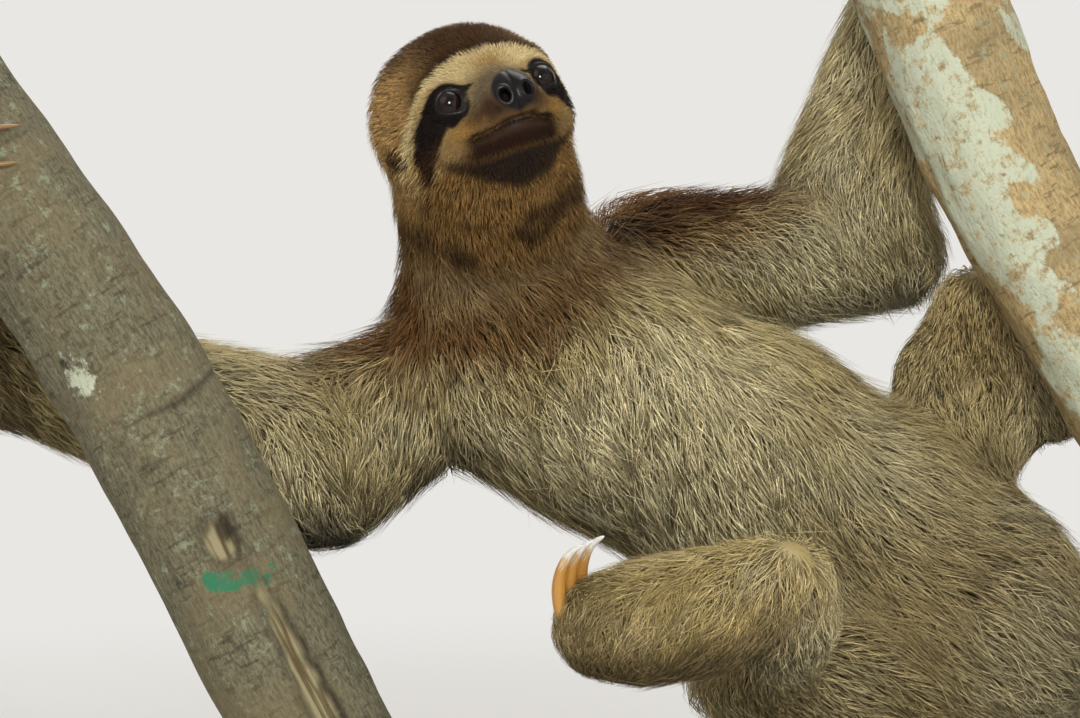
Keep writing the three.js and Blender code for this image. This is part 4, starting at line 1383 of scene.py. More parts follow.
def right_marks(along, turn, flat):
    """Grey bark with ring cracks, a pale blotch, a healed knot, moss and a long bare scar."""
    crack = 0.6 * crack_round(along, turn, flat, 128, 14) * bump(turn, 85, 45)
    crack += 0.6 * crack_round(along, turn, flat, 262, 10) * ramp(turn, 80, 110)
    knot = patch(along, turn, flat, 333, 100, 9, 6)
    scar = patch(along, turn, flat, 440, 112, 82, 5)
    rim = np.maximum(
        patch(along, turn, flat, 333, 100, 13, 9), patch(along, turn, flat, 440, 112, 90, 8.5)
    )
    pits = ramp(waves(flat, 9, 76)[0], 1.05, 1.3)
    moss = patch(along, turn, flat, 347, 91, 8, 9, 1) + patch(along, turn, flat, 354, 119, 6, 11, 0.8)
    moss += 0.7 * patch(along, turn, flat, 352, 45, 12, 16, 1)
    pale = patch(along, turn, flat, 246, 64, 13, 9, 0.9)
    wood = np.maximum(knot, scar)
    # The lip round knot and scar is dark all round, and darker still on its side past 108 degrees as
    # painted shade; the knot's hollow is painted dark as shade.
    lip = np.clip(rim - wood, 0, 1) * (0.45 + 0.4 * (turn > 108))
    hollow = patch(along, turn, flat, 330, 106, 5, 3)
    return {
        "crack": np.maximum.reduce([crack, 0.8 * pits, lip, 0.8 * hollow]),
        "wood": wood,
        "lichen": 0.58 * pale + 0.28 * ramp(waves(flat, 30, 77)[0], -0.2, 1) * (1 - pale),
        "moss": 0.53 * np.clip(moss, 0, 1),
        "raise": 1.3 * rim - 2.8 * wood - 1.4 * crack - 0.8 * pits,
    }


def left_marks(along, turn, flat):
    """Tan bark under large pale lichens, with a few dark pits."""
    lichen = waves(flat * vec(1, 1, 0.7), 26, 81)[0] + 0.45 * waves(flat, 10, 82)[0]
    lichen = ramp(lichen, -0.15, 0.45)
    pits = ramp(waves(flat, 10, 83)[0], 1.1, 1.3)
    crack = 0.5 * ramp(waves(flat * vec(0.4, 0.4, 1), 7, 85)[0], 1.05, 1.4)
    return {
        "crack": np.maximum(crack, 0.8 * pits),
        "wood": np.zeros_like(along),
        "lichen": 0.55 * lichen,
        "moss": 0.4 * ramp(waves(flat, 20, 84)[0], 0.8, 1.3),
        "raise": 0.8 * lichen - 0.8 * pits - 1.0 * crack,
    }


PERCH_MARKS = {"right": right_marks, "left": left_marks}


# ------------------------------------------------------------------ stand
def rounded_outline(half_x, half_y, corner, steps=14):
    """Points round a rectangle with rounded corners."""
    points = []
    quarter = np.linspace(0, math.pi / 2, steps)
    for turn, (sx, sy) in enumerate(((1, 1), (-1, 1), (-1, -1), (1, -1))):
        angle = quarter + turn * math.pi / 2
        points.append(
            np.stack(
                [
                    sx * (half_x - corner) + corner * np.cos(angle),
                    sy * (half_y - corner) + corner * np.sin(angle),
                ],
                axis=1,
            )
        )
    return np.concatenate(points)


def stack_mesh(rows):
    """A closed solid from equal rings of points, one row above the other."""
    rows = np.array(rows)
    points, *faces = closed(rows, [rows[0].mean(axis=0), rows[-1].mean(axis=0)])
    return points, faces


def lathe(profile, foot, sides=64):
    """A turned solid: profile is a list of radius and height over foot."""
    angle = np.arange(sides) * 2 * math.pi / sides
    circle = np.stack([np.cos(angle), np.sin(angle), np.zeros(sides)], axis=1)
    return stack_mesh([foot + circle * r + vec(0, 0, h) for r, h in profile])


# ------------------------------------------------------------------ settings
def length(name, description, millimetres):
    return FloatProperty(
        name=name,
        description=description,
        default=millimetres * MM,
        min=0.0,
        subtype="DISTANCE",
        unit="LENGTH",
    )


def colour(name, description, value):
    return FloatVectorProperty(
        name=name, description=description, default=linear(value), size=3, subtype="COLOR"
    )


def factor(name, description, value):
    return FloatProperty(name=name, description=description, default=value, subtype="FACTOR")


class SLOTH_PG_skin(bpy.types.PropertyGroup):
    cell: length("Mesh size", "Size of the skin's faces away from the head", 3.0)
    undercoat: factor("Undercoat", "How light the skin is under the coat", 0.72)


class SLOTH_PG_coat(bpy.types.PropertyGroup):
    spacing: length("Spacing", "Distance between the roots of the body's tufts", 1.25)
    face_spacing: length("Face spacing", "Distance between the roots of the face's tufts", 0.66)
    width: length("Tuft width", "Widest part of a tuft on the body", 0.7)
    face_width: length("Face tuft width", "Widest part of a tuft on the face", 0.44)
    long: factor("Length", "Length of the body's hairs, as a share of the usual", 1.0)
    buff: colour("Buff", "Main colour of body and limbs", "#b3a374")
    pale: colour("Pale buff", "Light locks on belly and limbs", "#d8cca2")
    grey: colour("Grey", "Grizzled patches", "#aba485")
    # Umber: dark patches of hair, also used as painted shade on rump, thighs and the foot's underside.
    umber: colour("Umber", "Darker patches", "#6b5a3a")
    tan: colour("Tan", "Warm patches on legs and rump", "#a48a58")
    golden: colour("Golden", "Hind feet", "#ab9762")
    straw: colour("Straw", "Palest hair tips and back patches", "#cdb98a")
    brown: colour("Brown", "Neck and right shoulder", "#6a4824")
    dark_brown: colour("Dark brown", "Left shoulder and stripe down the back", "#432912")
    dark: colour("Dark hair", "Dark hairs among the others", "#4a3f30")
    # Dark shaggy hair of the undersides, also used as painted shade there and in the neck's folds.
    fringe: colour("Fringe", "Shaggy undersides", "#2e2620")


class SLOTH_PG_face(bpy.types.PropertyGroup):
    cream: colour("Cream", "Brow band and sides of the face", "#dfca96")
    gold: colour("Gold", "Forehead, rim of the mask and streak under the eye", "#ad8747")
    crown: colour("Crown", "Top of the head", "#4c3216")
    crown_side: colour("Side of crown", "Sides of the head", "#c09a62")
    crown_edge: colour("Edge of crown", "Dark line over the brow band", "#33220f")
    mask: colour("Mask", "Patch round each eye", "#1a120e")
    mask_foot: colour("Foot of mask", "Lower end of the stripe on the cheek", "#402818")
    bridge: colour("Bridge", "Sides of the nose's bridge", "#74654a")
    muzzle: colour("Muzzle", "Round the nose and upper lip", "#473121")
    lip: colour("Lower lip", "Lower lip", "#2d1a0d")
    chin: colour("Chin", "Patch on the chin", "#261c16")
    throat: colour("Throat", "Light hair of throat and jaw", "#937040")
    throat_dark: colour("Dark throat", "Dark hair of throat and jaw", "#4c361d")
    ear: colour("Ears", "Ears and the hair round them", "#33210f")
    leather: colour("Nose leather", "Nose", "#0c0a09")
    lid: colour("Lids", "Skin of the lids and edges of the lips", "#140e0b")


class SLOTH_PG_eye(bpy.types.PropertyGroup):
    radius: length("Eye radius", "Radius of the eyeball", 7.5)
    pupil: colour("Pupil", "Pupil", "#050403")
    iris: colour("Iris", "Iris", "#1b0e08")
    rim: colour("Rim", "Dark wet rim round the iris", "#0b0707")


class SLOTH_PG_claw(bpy.types.PropertyGroup):
    root: colour("Root", "Horn at the root", "#4f4336")
    horn: colour("Horn", "Body of the claw", "#b5833a")
    worn: colour("Worn horn", "Where wear begins", "#cdb28a")
    tip: colour("Tip", "Scuffed tip", "#dcdad2")


class SLOTH_PG_bark(bpy.types.PropertyGroup):
    relief: factor("Relief", "Height of the bark's ridges", 1.0)
    dark: colour("Dark streaks", "Furrows of the right trunk", "#4c4838")
    light: colour("Light streaks", "Ridges of the right trunk", "#78725a")
    tan_dark: colour("Tan furrows", "Furrows of the left trunk", "#83704a")
    tan_light: colour("Tan ridges", "Ridges of the left trunk", "#bda577")
    ochre: colour("Ochre", "Stained patches", "#776a4e")
    spot: colour("Spots", "Lichen specks", "#8f9a80")
    lichen: colour("Lichen", "Thin lichen", "#94987f")
    pale: colour("Pale lichen", "Thick lichen", "#b7bba3")
    moss: colour("Moss", "Green patches", "#387253")
    wood: colour("Bare wood", "Bare wood of knots and scars", "#968d6c")
    wood_dark: colour("Dark wood", "Grain of bare wood", "#5a4c32")
    # Cracks and pits; also painted shade on one side of the lips round knot and scar, and in the knot's
    # hollow.
    crack: colour("Cracks", "Cracks and pits", "#241d16")


class SLOTH_PG_stand(bpy.types.PropertyGroup):
    rod: length("Rod radius", "Radius of the two rods", 6)
    steel: colour("Steel", "Rods and collars", "#9b9c9e")
    lacquer: colour("Lacquer", "Base", "#2c2822")
    lacquer_dark: colour("Dark lacquer", "Pores of the base", "#171512")


class SLOTH_PG_stage(bpy.types.PropertyGroup):
    floor: colour("Floor", "Floor and background", "#e9e7e3")
    level: factor("Lamp level", "Strength of all lamps", 1.0)
    lens: FloatProperty(
        name="Lens", description="Focal length", default=88.0, unit="CAMERA", min=1.0
    )


GROUPS = {
    "sloth_skin": SLOTH_PG_skin,
    "sloth_coat": SLOTH_PG_coat,
    "sloth_face": SLOTH_PG_face,
    "sloth_eye": SLOTH_PG_eye,
    "sloth_claw": SLOTH_PG_claw,
    "sloth_bark": SLOTH_PG_bark,
    "sloth_stand": SLOTH_PG_stand,
    "sloth_stage": SLOTH_PG_stage,
}


# ------------------------------------------------------------------ operators
BODY_NODES = ["head", *dict.fromkeys(PARTS)]
MADE = {}  # the flesh's grid, once made


class SLOTH_OT_camera(bpy.types.Operator):
    """Places the camera in front of the animal's belly"""

    bl_idname = "sloth.camera"
    bl_label = "Camera"

    PLACE = (-0.105, -1.215, 0.255)
    LEVEL = (math.pi / 2, 0, 0)

    def execute(self, context):
        data = bpy.data.cameras.new("camera")
        data.sensor_width = 36.0
        data.lens = context.scene.sloth_stage.lens
        data.clip_start = 0.05
        camera = bpy.data.objects.new("camera", data)
        camera.location = self.PLACE
        camera.rotation_euler = self.LEVEL
        context.scene.collection.objects.link(camera)
        context.scene.camera = camera
        return {"FINISHED"}


class SLOTH_OT_skin(bpy.types.Operator):
    """Makes the skin, with folds, lids, nostrils and lips, inside the coat"""

    bl_idname = "sloth.skin"
    bl_label = "Skin"

    # Regions that are made finer, by their distance from points of the head.
    FINER = (((0, 0, 0), 66), ((0, 34, -16), 36), ((0, 44, -24), 22), (tuple(EYE), 12.5))
    # Where the face has lids, nostrils and lips.
    FACE_MIDDLE = vec(0, 36, -16)
    FACE_REACH = 44

    def execute(self, context):
        settings = context.scene.sloth_skin
        flesh = Flesh(settings.cell / MM)
        MADE["flesh"] = flesh
        points, quads = flesh.surface()
        points = settle(points, 1)
        mesh = bpy.data.meshes.new("skin_form")
        fill_mesh(mesh, points * MM, [quads])
        points, faces = self.refine(mesh)
        bpy.data.meshes.remove(mesh)
        normals = flesh.normal(points)
        from_face = np.linalg.norm(to_head(points) - self.FACE_MIDDLE, axis=1)
        face = np.flatnonzero(from_face < self.FACE_REACH)
        points[face] = face_relief(points[face], normals[face])
        quads = np.array([f for f in faces if len(f) == 4])
        tris = np.array([f for f in faces if len(f) == 3])
        skin = new_piece("skin", points, [quads, tris], [hide_material()], BODY_NODES)
        share = shares(points)
        tone = markings(
            points, normals, share, context.scene.sloth_coat, context.scene.sloth_face
        )
        q = to_head(points)
        rim = ramp(lid_opening(q), 1.16, 1.06) * (np.linalg.norm(mirrored(q) - EYE, axis=1) < 10)
        drop = mouth_drop(q)
        lips = ramp(drop, 0.8, 0.2) * ramp(drop, -4.2, -3)
        lips = lips * ramp(np.abs(q[:, 0]), MOUTH_HALF, MOUTH_HALF - 4)
        lips = 0.4 * lips * ramp(q[:, 1], 20, 28)
        bare = np.maximum.reduce([leather(q), rim, lips]) * ramp(share[:, -1], 0.5, 0.8)
        bare = bare * ramp(nostril(q), 0.85, 1.1)
        store(skin.data, "tint", tone * (settings.undercoat + (1 - settings.undercoat) * bare)[:, None])
        store(skin.data, "wet", bare)
        return {"FINISHED"}

    def refine(self, mesh):
        """Halves the faces round each finer region and moves the new points onto the skin."""
        form = bmesh.new()
        form.from_mesh(mesh)

        def measure(middle):
            """The form's points and how far each is from middle, or from either of the two
            places that middle stands for when it is off the head's middle."""
            places = np.array([vert.co for vert in form.verts]) / MM
            q = mirrored(to_head(places)) if middle[0] else to_head(places)
            return places, np.linalg.norm(q - vec(*middle), axis=1)

        for middle, reach in self.FINER:
            inside = measure(middle)[1] < reach
            form.verts.ensure_lookup_table()
            edges = [e for e in form.edges if inside[e.verts[0].index] and inside[e.verts[1].index]]
            bmesh.ops.subdivide_edges(form, edges=edges, cuts=1, use_grid_fill=True)
            form.verts.index_update()
            form.verts.ensure_lookup_table()
            places, distance = measure(middle)
            moved = np.flatnonzero(distance < reach + 3)
            for index, place in zip(moved, settle(places[moved], 2) * MM):
                form.verts[index].co = place
        many = [f for f in form.faces if len(f.verts) > 4]
        bmesh.ops.triangulate(form, faces=many)
        form.verts.index_update()
        points = np.array([vert.co for vert in form.verts]) / MM
        faces = [[vert.index for vert in f.verts] for f in form.faces]
        form.free()
        return points, faces


class SLOTH_OT_coat(bpy.types.Operator):
    """Grows the coat over the skin as tufts that follow its lie"""

    bl_idname = "sloth.coat"
    bl_label = "Coat"

    # Each piece of the coat: the parts it covers, its finish, and how fine it is against
    # the body's.
    PIECES = {
        "coat_neck": (("neck",), "brown_coat", 0.8),
        "coat_chest": (("thorax",), "coat", 1),
        "coat_belly": (("abdomen",), "coat", 1),
        "coat_rump": (("rump", "tail"), "coat", 1),
        "coat_upper_arm_right": (("upper_arm_right",), "coat", 1),
        "coat_forearm_right": (("forearm_right", "hand_right"), "coat", 0.95),
        "coat_upper_arm_left": (("upper_arm_left",), "brown_coat", 1),
        "coat_forearm_left": (("forearm_left", "hand_left"), "coat", 0.95),
        "coat_leg_right": (("thigh_right", "shank_right"), "coat", 1),
        "coat_foot_right": (("foot_right",), "coat", 0.72),
        "coat_leg_left": (("thigh_left", "shank_left", "foot_left"), "coat", 1),
    }
    CROWN_FINE = 0.62
    FACE_FRONT = 14  # how far forward of the head's centre the face's own coat begins
    STRAY_SHARE = 0.05

    def execute(self, context):
        scene = context.scene
        settings = scene.sloth_coat
        skin = bpy.data.objects["skin"].data
        skin.calc_loop_triangles()
        corners = np.empty(len(skin.loop_triangles) * 3, np.int32)
        skin.loop_triangles.foreach_get("vertices", corners)
        corners = corners.reshape(-1, 3)
        points = points_of(skin)
        normals = np.empty(len(points) * 3, np.float32)
        skin.vertex_normals.foreach_get("vector", normals)
        normals = normals.reshape(-1, 3)
        middle = points[corners].mean(axis=1)
        owner = shares(middle).argmax(axis=1)
        head = owner == len(BONES)
        q = to_head(middle)
        forward = q[:, 1] + 0.25 * q[:, 2]
        body = (settings.spacing / MM, settings.width / MM)
        face = (settings.face_spacing / MM, settings.face_width / MM)
        crown = (body[0] * self.CROWN_FINE, body[1] * self.CROWN_FINE)
        regions = [
            ("coat_face", None, head & (forward > self.FACE_FRONT), "face_coat", face),
            ("coat_crown", None, head & (forward <= self.FACE_FRONT), "face_coat", crown),
        ]
        for name, (parts, slot, fine) in self.PIECES.items():
            bones = [i for i, part in enumerate(PARTS) if part in parts]
            size = (body[0] * fine, body[1] * fine)
            regions.append((name, bones, np.isin(owner, bones), slot, size))
        hair = hair_material()
        random = np.random.default_rng(SEED)
        for name, bones, wanted, slot, size in regions:
            roots, normal = scatter(points[corners], normals[corners], wanted, size[0], random)
            self.piece(scene, name, bones, roots, normal, size, slot, hair, random)
        return {"FINISHED"}

    def piece(self, scene, name, bones, roots, normals, size, slot, hair, random):
        width = size[1]
        share = shares(roots)
        q = to_head(roots)
        keep = self.hairy(q, share)
        roots, normals, share, q = roots[keep], normals[keep], share[keep], q[keep]
        count = len(roots)
        length = share[:, :-1] @ HAIR_LENGTH + share[:, -1] * head_hair(q)
        depth = share[:, :-1] @ COAT_DEPTH + share[:, -1] * head_depth(q)
        length = length * scene.sloth_coat.long * random.uniform(0.7, 1.2, count)
        width = width * random.uniform(0.65, 1.25, count) * (0.6 + 0.4 * ramp(length, 3, 12))
        height = depth * random.uniform(0.45, 1.08, count) * (1 + 0.3 * part_share(share, "neck"))
        # The crown's coat stands fuller over the brow and temples.
        height = height * (1 + 0.15 * share[:, -1] * ramp(q[:, 2], -8, 22) * ramp(q[:, 1], 30, 12))
        # A few thin, long guard hairs stand off the rest.
        stray = random.random(count) < self.STRAY_SHARE
        length = np.where(stray, 1.35 * length, length)
        width = np.where(stray, 0.5 * width, width)
        height = np.where(stray, 1.25 * depth, height)
        foot = part_share(share, "foot_right")
        yaw = random.normal(0, 1, count) * (0.19 - 0.08 * share[:, -1] + 0.15 * foot) * (1 + stray)
        lock = FACE_LOCK if name == "coat_face" else BODY_LOCK
        tufts = grow(
            MADE["flesh"], roots, normals, share, length, height, width, yaw[:, None], lock
        )
        piece = new_piece(name, tufts.reshape(-1, 3), [tuft_faces(count)], [hair])
        # Colours are those of the place that a tuft covers, which is beyond its root.
        seen = tufts[:, 1:4].mean(axis=1)
        seen_normal = MADE["flesh"].normal(seen)
        tone = markings(seen, seen_normal, shares(seen), scene.sloth_coat, scene.sloth_face)
        tone = self.vary(tone, share, scene, random)
        steps = np.repeat(TINT, (1, 3, 1))
        tints = tone[:, None] * steps[None, :, None]
        store(piece.data, "tint", np.clip(tints, 0, 1).reshape(-1, 3))
        self.bake_map(piece.data, unwrap(roots, bones))

    @staticmethod
    def hairy(q, share):
        """Where hair grows: not on the nose, in the eyes or on the lips."""
        head = share[:, -1] > 0.5
        near_eye = np.linalg.norm(mirrored(q) - EYE, axis=1) < 10
        eye = near_eye & (lid_opening(q) < 1.05)
        drop = mouth_drop(q)
        lips = (drop > -1.5) & (drop < 0.5) & (np.abs(q[:, 0]) < MOUTH_HALF) & (q[:, 1] > 22)
        ear = np.linalg.norm((mirrored(q) - EAR) * vec(0.4, 1, 0.8), axis=1) < 2.8
        return ~(head & (eye | lips | ear | (leather(q) > 0.3)))

    @staticmethod
    def vary(tone, share, scene, random):
        """Gives each tuft a shade of its own, with a few dark and a few straw ones."""
        count = len(tone)
        body = 1 - share[:, -1]
        shade = random.normal(0, 0.16, count) * (0.6 + 0.4 * body)
        tone = tone * np.exp(shade)[:, None]
        pick = random.random(count)
        dark, straw = (np.array(getattr(scene.sloth_coat, n)) for n in ("dark", "straw"))
        tone = mix(tone, dark, 0.55 * body * (pick < 0.1))
        return mix(tone, straw, 0.5 * body * (pick > 0.84) * ramp(tone.mean(axis=1), 0.05, 0.2))

    @staticmethod
    def bake_map(mesh, places):
        """Gives each tuft a small patch at its root's place on the unwrap of the skin."""
        across = np.array([0.5, 0, 1, 0.5, 0.5])
        along = np.array([0, 0.5, 0.5, 0.5, 1])
        corner = np.stack([across, along], axis=1) * PATCH
        uvs = (places[:, None] + corner[None]).reshape(-1, 2)
        index = np.empty(len(mesh.loops), np.int32)
        mesh.loops.foreach_get("vertex_index", index)
        layer = mesh.uv_layers.new(name="OFBake")
        layer.uv.foreach_set("vector", uvs[index].astype(np.float32).ravel())


class SLOTH_OT_eyes(bpy.types.Operator):
    """Sets the two eyes in their sockets"""

    bl_idname = "sloth.eyes"
    bl_label = "Eyes"

    def execute(self, context):
        settings = context.scene.sloth_eye
        made = eye_material(settings)
        radius = settings.radius / MM
        rings, sides = 44, 56
        polar = np.linspace(0.02, math.pi - 0.02, rings)
        ring = polar / math.pi * 2
        # The cornea stands a little proud of the ball over the iris.
        reach = radius * (1 + 0.04 * ramp(polar, 0.7, 0.25))
        for name, side in (("left", 1), ("right", -1)):
            centre = from_head((EYE - EYE_SET * LID_AXIS) * vec(side, 1, 1))
            aim = unit(GAZE @ HEAD_AXES + 0.08 * side * ACROSS)
            sideways = unit(np.cross(aim, vec(0, 0, 1)))
            upward = np.cross(sideways, aim)
            centres = centre + aim * (np.cos(polar) * reach)[:, None]
            radii = np.repeat((np.sin(polar) * reach)[:, None], sides, axis=1)
            frames = [np.repeat(axis[None], rings, axis=0) for axis in (sideways, upward)]
            points, *faces = tube(centres, *frames, radii)
            eye = new_piece(f"eyeball_{name}", points, faces, [made], (f"eye_{name}",))
            store(eye.data, "ring", np.concatenate([np.repeat(ring, sides), [0, 2]]))
        return {"FINISHED"}


class SLOTH_OT_ears(bpy.types.Operator):
    """Sets the two small ears, which the coat all but hides"""

    bl_idname = "sloth.ears"
    bl_label = "Ears"

    # Radius and height of a cup's rows, down its outside from the root, over its rim, and
    # down into its hollow.
    CUP = (
        (2.6, -5),
        (3.8, -1),
        (5.0, 1.6),
        (5.7, 3.8),
        (5.9, 5.0),
        (5.5, 5.6),
        (4.9, 5.1),
        (4.3, 3.2),
        (3.0, 1.2),
        (1.2, 0.4),
    )

    def execute(self, context):
        made = hide_material()
        tone = np.array(context.scene.sloth_face.ear)
        sides = 36
        turn = np.arange(sides) * 2 * math.pi / sides
        radius, height = np.array(self.CUP).T[:, :, None] * vec(0.62, 0.75)[:, None, None]
        # The rim stands higher behind and is drawn out upwards.
        lift = ramp(height, -1, 5) * (1.6 * np.cos(turn - math.pi) + 0.5 * np.sin(3 * turn))
        radii = radius * (1 + 0.16 * np.sin(turn) + 0.05 * np.cos(3 * turn))
        for name, side in (("left", 1), ("right", -1)):
            out = unit(vec(side * 0.96, 0.12, -0.18))
            up = unit(vec(0, 0, 1) - out * out[2])
            ahead = np.cross(up, out) * side
            rows = EAR * vec(side, 1, 1) + (
                (radii * 0.78 * np.cos(turn))[..., None] * ahead
                + (radii * 1.15 * np.sin(turn))[..., None] * up
                + (height + lift - 4)[..., None] * out
            )
            points, faces = stack_mesh([from_head(row) for row in rows])
            ear = new_piece(f"ear_cup_{name}", points, faces, [made], (f"ear_{name}",))
            # Painted shade: the cup is darker at its root and down into its hollow.
            shade = np.concatenate([np.repeat(0.55 + 0.45 * ramp(height[:, 0], 1, 5), sides), [1, 0.5]])
            store(ear.data, "tint", tone * shade[:, None])
            store(ear.data, "wet", np.zeros(len(points)))
        return {"FINISHED"}


class SLOTH_OT_claws(bpy.types.Operator):
    """Shapes the twelve claws"""

    bl_idname = "sloth.claws"
    bl_label = "Claws"

    def execute(self, context):
        made = claw_material(context.scene.sloth_claw)
        for limb, curves in CLAWS.items():
            for number, curve in enumerate(curves, 1):
                root = CLAW_RADIUS[limb.split("_")[0]]
                points, faces, along, grain = claw_mesh(curve, root)
                name = f"claw_{limb}_{number}"
                claw = new_piece(f"horn_{limb}_{number}", points, faces, [made], (name,))
                # Claws that grip are worn evenly, so only the free ones have scuffed tips.
                store(claw.data, "along", along * (1 if limb == "foot_right" else 0.08))
                store(claw.data, "grain", grain * MM)
        return {"FINISHED"}


class SLOTH_OT_perches(bpy.types.Operator):
    """Covers the two cut trunks in bark"""

    bl_idname = "sloth.perches"
    bl_label = "Perches"

    def execute(self, context):
        c = context.scene.sloth_bark
        end_grain = end_grain_material(c)
        for side, slot in (("right", "bark_grey"), ("left", "bark_pale")):
            dark, light = (c.dark, c.light) if side == "right" else (c.tan_dark, c.tan_light)
            bark = bark_material(slot, c, dark, light)
            points, quads, caps, marks = perch_mesh(side, c.relief)
            perch = new_piece(
                f"trunk_{side}", points, [quads, caps], [bark, end_grain], (f"perch_{side}",)
            )
            finish = np.zeros(len(perch.data.polygons), np.int32)
            finish[len(quads) :] = 1
            perch.data.polygons.foreach_set("material_index", finish)
            for name, mark in marks.items():
                store(perch.data, name, mark)
        return {"FINISHED"}


class SLOTH_OT_stand(bpy.types.Operator):
    """Makes the display stand: base, rods and collars"""

    bl_idname = "sloth.stand"
    bl_label = "Stand"

    # Radius of the base's corners, seen from above, and of its edges.
    CORNER = 40
    EDGE = 2.4

    def execute(self, context):
        c = context.scene.sloth_stand
        steel, lacquer = steel_material(c), lacquer_material(c)
        low, high = (np.array(corner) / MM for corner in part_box("stand_base"))
        half, thick = (high - low) / 2, high[2] - low[2]
        rows = []
        for height, inset in self.rounded_edge(thick, self.EDGE):
            outline = rounded_outline(half[0] - inset, half[1] - inset, self.CORNER - inset)
            rows.append(np.c_[outline, np.full(len(outline), low[2] + height)])
        points, faces = stack_mesh(rows)
        base = new_piece("base_board", points, faces, [lacquer], ("stand_base",))
        base.data.polygons.foreach_set("use_smooth", np.full(len(base.data.polygons), False))
        for side in PERCHES:
            bottom = PERCH_CURVES[side].at(0.97)
            foot = vec(bottom[0], bottom[1], high[2])
            rod_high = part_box(f"stand_rod_{side}")[1][2] / MM
            radius = c.rod / MM
            profiles = {
                "rod": [(0.01, 0.2), (radius, 0.2), (radius, rod_high - high[2])],
                "collar": self.collar_profile(radius),
            }
            for part, profile in profiles.items():
                points, faces = lathe(profile, foot)
                name = f"{part}_{side}"
                new_piece(name, points, faces, [steel], (f"stand_{name}",))
        return {"FINISHED"}

    @staticmethod
    def rounded_edge(thick, edge, steps=6):
        """Height and inset of each row of the base, with rounded top and bottom edges."""
        turn = np.linspace(0, math.pi / 2, steps)
        low = [(edge * (1 - math.sin(a)), edge * (1 - math.cos(a))) for a in turn[::-1]]
        high = [(thick - h, i) for h, i in low[::-1]]
        return low + high

    @staticmethod
    def collar_profile(radius, steps=6):
        turn = np.linspace(0, math.pi / 2, steps)
        edge = [(15.4 + 0.6 * math.cos(a), 2.2 + 0.6 * math.sin(a)) for a in turn]
        inside = radius + 0.4
        return [(inside, 0.1), (15.9, 0.1), *edge, (10.0, 5.4), (9.6, 6.0), (inside, 6.0)]


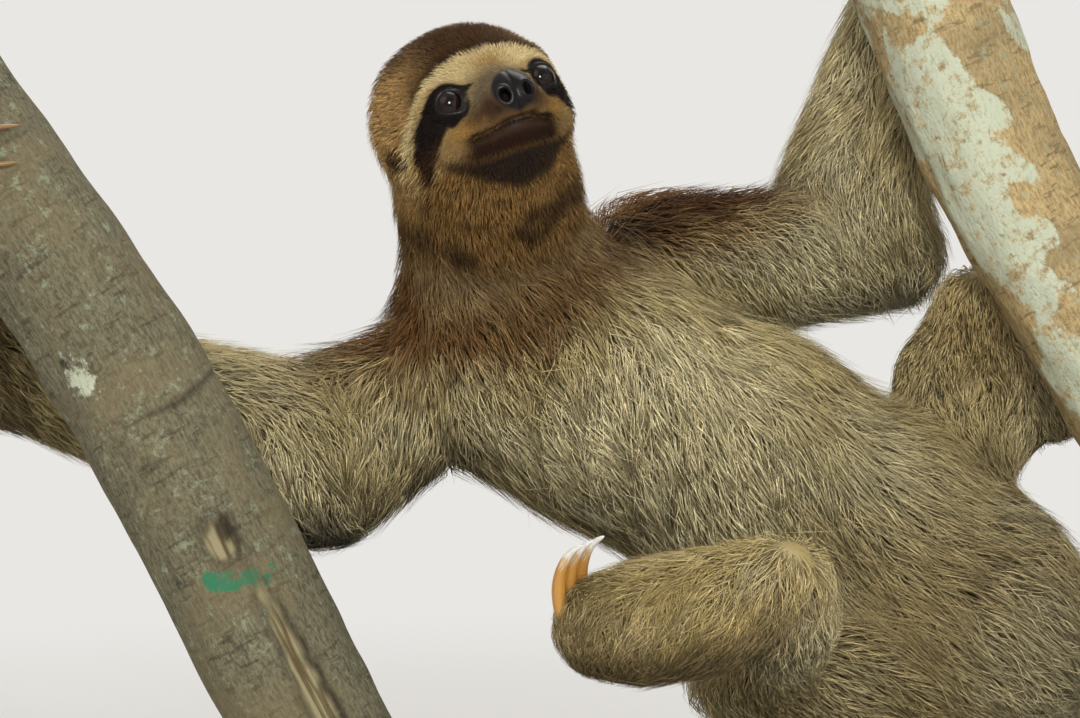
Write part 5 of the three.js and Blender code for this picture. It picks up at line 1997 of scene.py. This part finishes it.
class SLOTH_OT_stage(bpy.types.Operator):
    """Lays the floor and hangs the lamps"""

    bl_idname = "sloth.stage"
    bl_label = "Stage"

    # Name, place, size and power of each lamp, which all look at the animal's chest.
    LAMPS = (
        ("key", (-1.5, -1.7, 1.9), 2.4, 22),
        ("fill", (1.7, -1.5, 0.9), 2.0, 9),
        ("top", (0.2, 0.9, 2.3), 1.6, 22),
        ("front", (0.1, -1.2, 0.68), 0.26, 10.5),
    )
    TARGET = (-0.06, 0.0, 0.24)

    def execute(self, context):
        settings = context.scene.sloth_stage
        for name, place, size, power in self.LAMPS:
            data = bpy.data.lights.new(name, "AREA")
            data.shape = "DISK"
            data.size = size
            data.energy = power * settings.level
            lamp = bpy.data.objects.new(name, data)
            lamp.location = place
            aim = Vector(self.TARGET) - lamp.location
            lamp.rotation_euler = aim.to_track_quat("-Z", "Y").to_euler()
            context.scene.collection.objects.link(lamp)
        self.world(context.scene, settings)
        self.floor(context.scene, settings)
        return {"FINISHED"}

    @staticmethod
    def seen(tree):
        """1 on rays from the camera, a mirror or glass, 0 on rays that light."""
        path = add(tree, "ShaderNodeLightPath").outputs
        mirror = add(
            tree,
            "ShaderNodeMath",
            {0: path["Is Glossy Ray"], 1: path["Is Transmission Ray"]},
            operation="MAXIMUM",
        )
        both = {0: path["Is Camera Ray"], 1: mirror.outputs[0]}
        return add(tree, "ShaderNodeMath", both, operation="MAXIMUM").outputs[0]

    def world(self, scene, settings):
        world = bpy.data.worlds.new("studio")
        scene.world = world
        world.use_nodes = True
        tree = world.node_tree
        tree.nodes.clear()
        strength = add(
            tree, "ShaderNodeMapRange", {"Value": self.seen(tree), "To Min": 0.5, "To Max": 1.0}
        )
        back = add(
            tree,
            "ShaderNodeBackground",
            {"Color": rgba(settings.floor), "Strength": strength.outputs[0]},
        )
        add(tree, "ShaderNodeOutputWorld", {"Surface": back.outputs[0]})

    def floor(self, scene, settings):
        """A pale floor that runs out into the background's own colour."""
        side = 6.0
        mesh = bpy.data.meshes.new("floor")
        corners = np.array([(-side, -side, 0), (side, -side, 0), (side, side, 0), (-side, side, 0)])
        fill_mesh(mesh, corners, [np.array([[0, 1, 2, 3]])])
        made, tree = start_material("matt_paper_sweep")
        place = add(tree, "ShaderNodeTexCoord").outputs["Object"]
        distance = add(tree, "ShaderNodeVectorMath", {0: place}, operation="LENGTH")
        far = add(
            tree,
            "ShaderNodeMapRange",
            {"Value": distance.outputs["Value"], "From Min": 0.45, "From Max": 1.5},
            interpolation_type="SMOOTHSTEP",
        )
        share = add(
            tree, "ShaderNodeMath", {0: far.outputs[0], 1: self.seen(tree)}, operation="MULTIPLY"
        )
        paper = add(tree, "ShaderNodeBsdfDiffuse", {"Color": rgba(settings.floor)})
        glow = add(tree, "ShaderNodeEmission", {"Color": rgba(settings.floor), "Strength": 1.0})
        both = add(
            tree,
            "ShaderNodeMixShader",
            {0: share.outputs[0], 1: paper.outputs[0], 2: glow.outputs[0]},
        )
        add(tree, "ShaderNodeOutputMaterial", {"Surface": both.outputs[0]})
        mesh.materials.append(made)
        floor = bpy.data.objects.new("floor", mesh)
        scene.collection.objects.link(floor)


class SLOTH_PT_panel(bpy.types.Panel):
    """Lists the pieces of the sloth and their settings"""

    bl_idname = "SLOTH_PT_panel"
    bl_label = "Sloth"
    bl_space_type = "VIEW_3D"
    bl_region_type = "UI"
    bl_category = "Sloth"

    def draw(self, context):
        layout = self.layout
        for operator in OPERATORS:
            layout.operator(operator.bl_idname)
        for name, group in GROUPS.items():
            box = layout.box()
            box.label(text=name.replace("sloth_", "").title())
            for setting in group.__annotations__:
                box.prop(getattr(context.scene, name), setting)


OPERATORS = (
    SLOTH_OT_camera,
    SLOTH_OT_skin,
    SLOTH_OT_coat,
    SLOTH_OT_eyes,
    SLOTH_OT_ears,
    SLOTH_OT_claws,
    SLOTH_OT_perches,
    SLOTH_OT_stand,
    SLOTH_OT_stage,
)
CLASSES = (*GROUPS.values(), *OPERATORS, SLOTH_PT_panel)


def register():
    for made in CLASSES:
        bpy.utils.register_class(made)
    for name, group in GROUPS.items():
        setattr(bpy.types.Scene, name, PointerProperty(type=group))


def unregister():
    for name in GROUPS:
        delattr(bpy.types.Scene, name)
    for made in reversed(CLASSES):
        bpy.utils.unregister_class(made)


def main():
    register()
    bpy.context.scene.view_settings.view_transform = "Standard"
    bpy.ops.sloth.camera()
    bpy.ops.sloth.skin()
    bpy.ops.sloth.coat()
    bpy.ops.sloth.eyes()
    bpy.ops.sloth.ears()
    bpy.ops.sloth.claws()
    bpy.ops.sloth.perches()
    bpy.ops.sloth.stand()
    bpy.ops.sloth.stage()


if __name__ == "__main__":
    main()
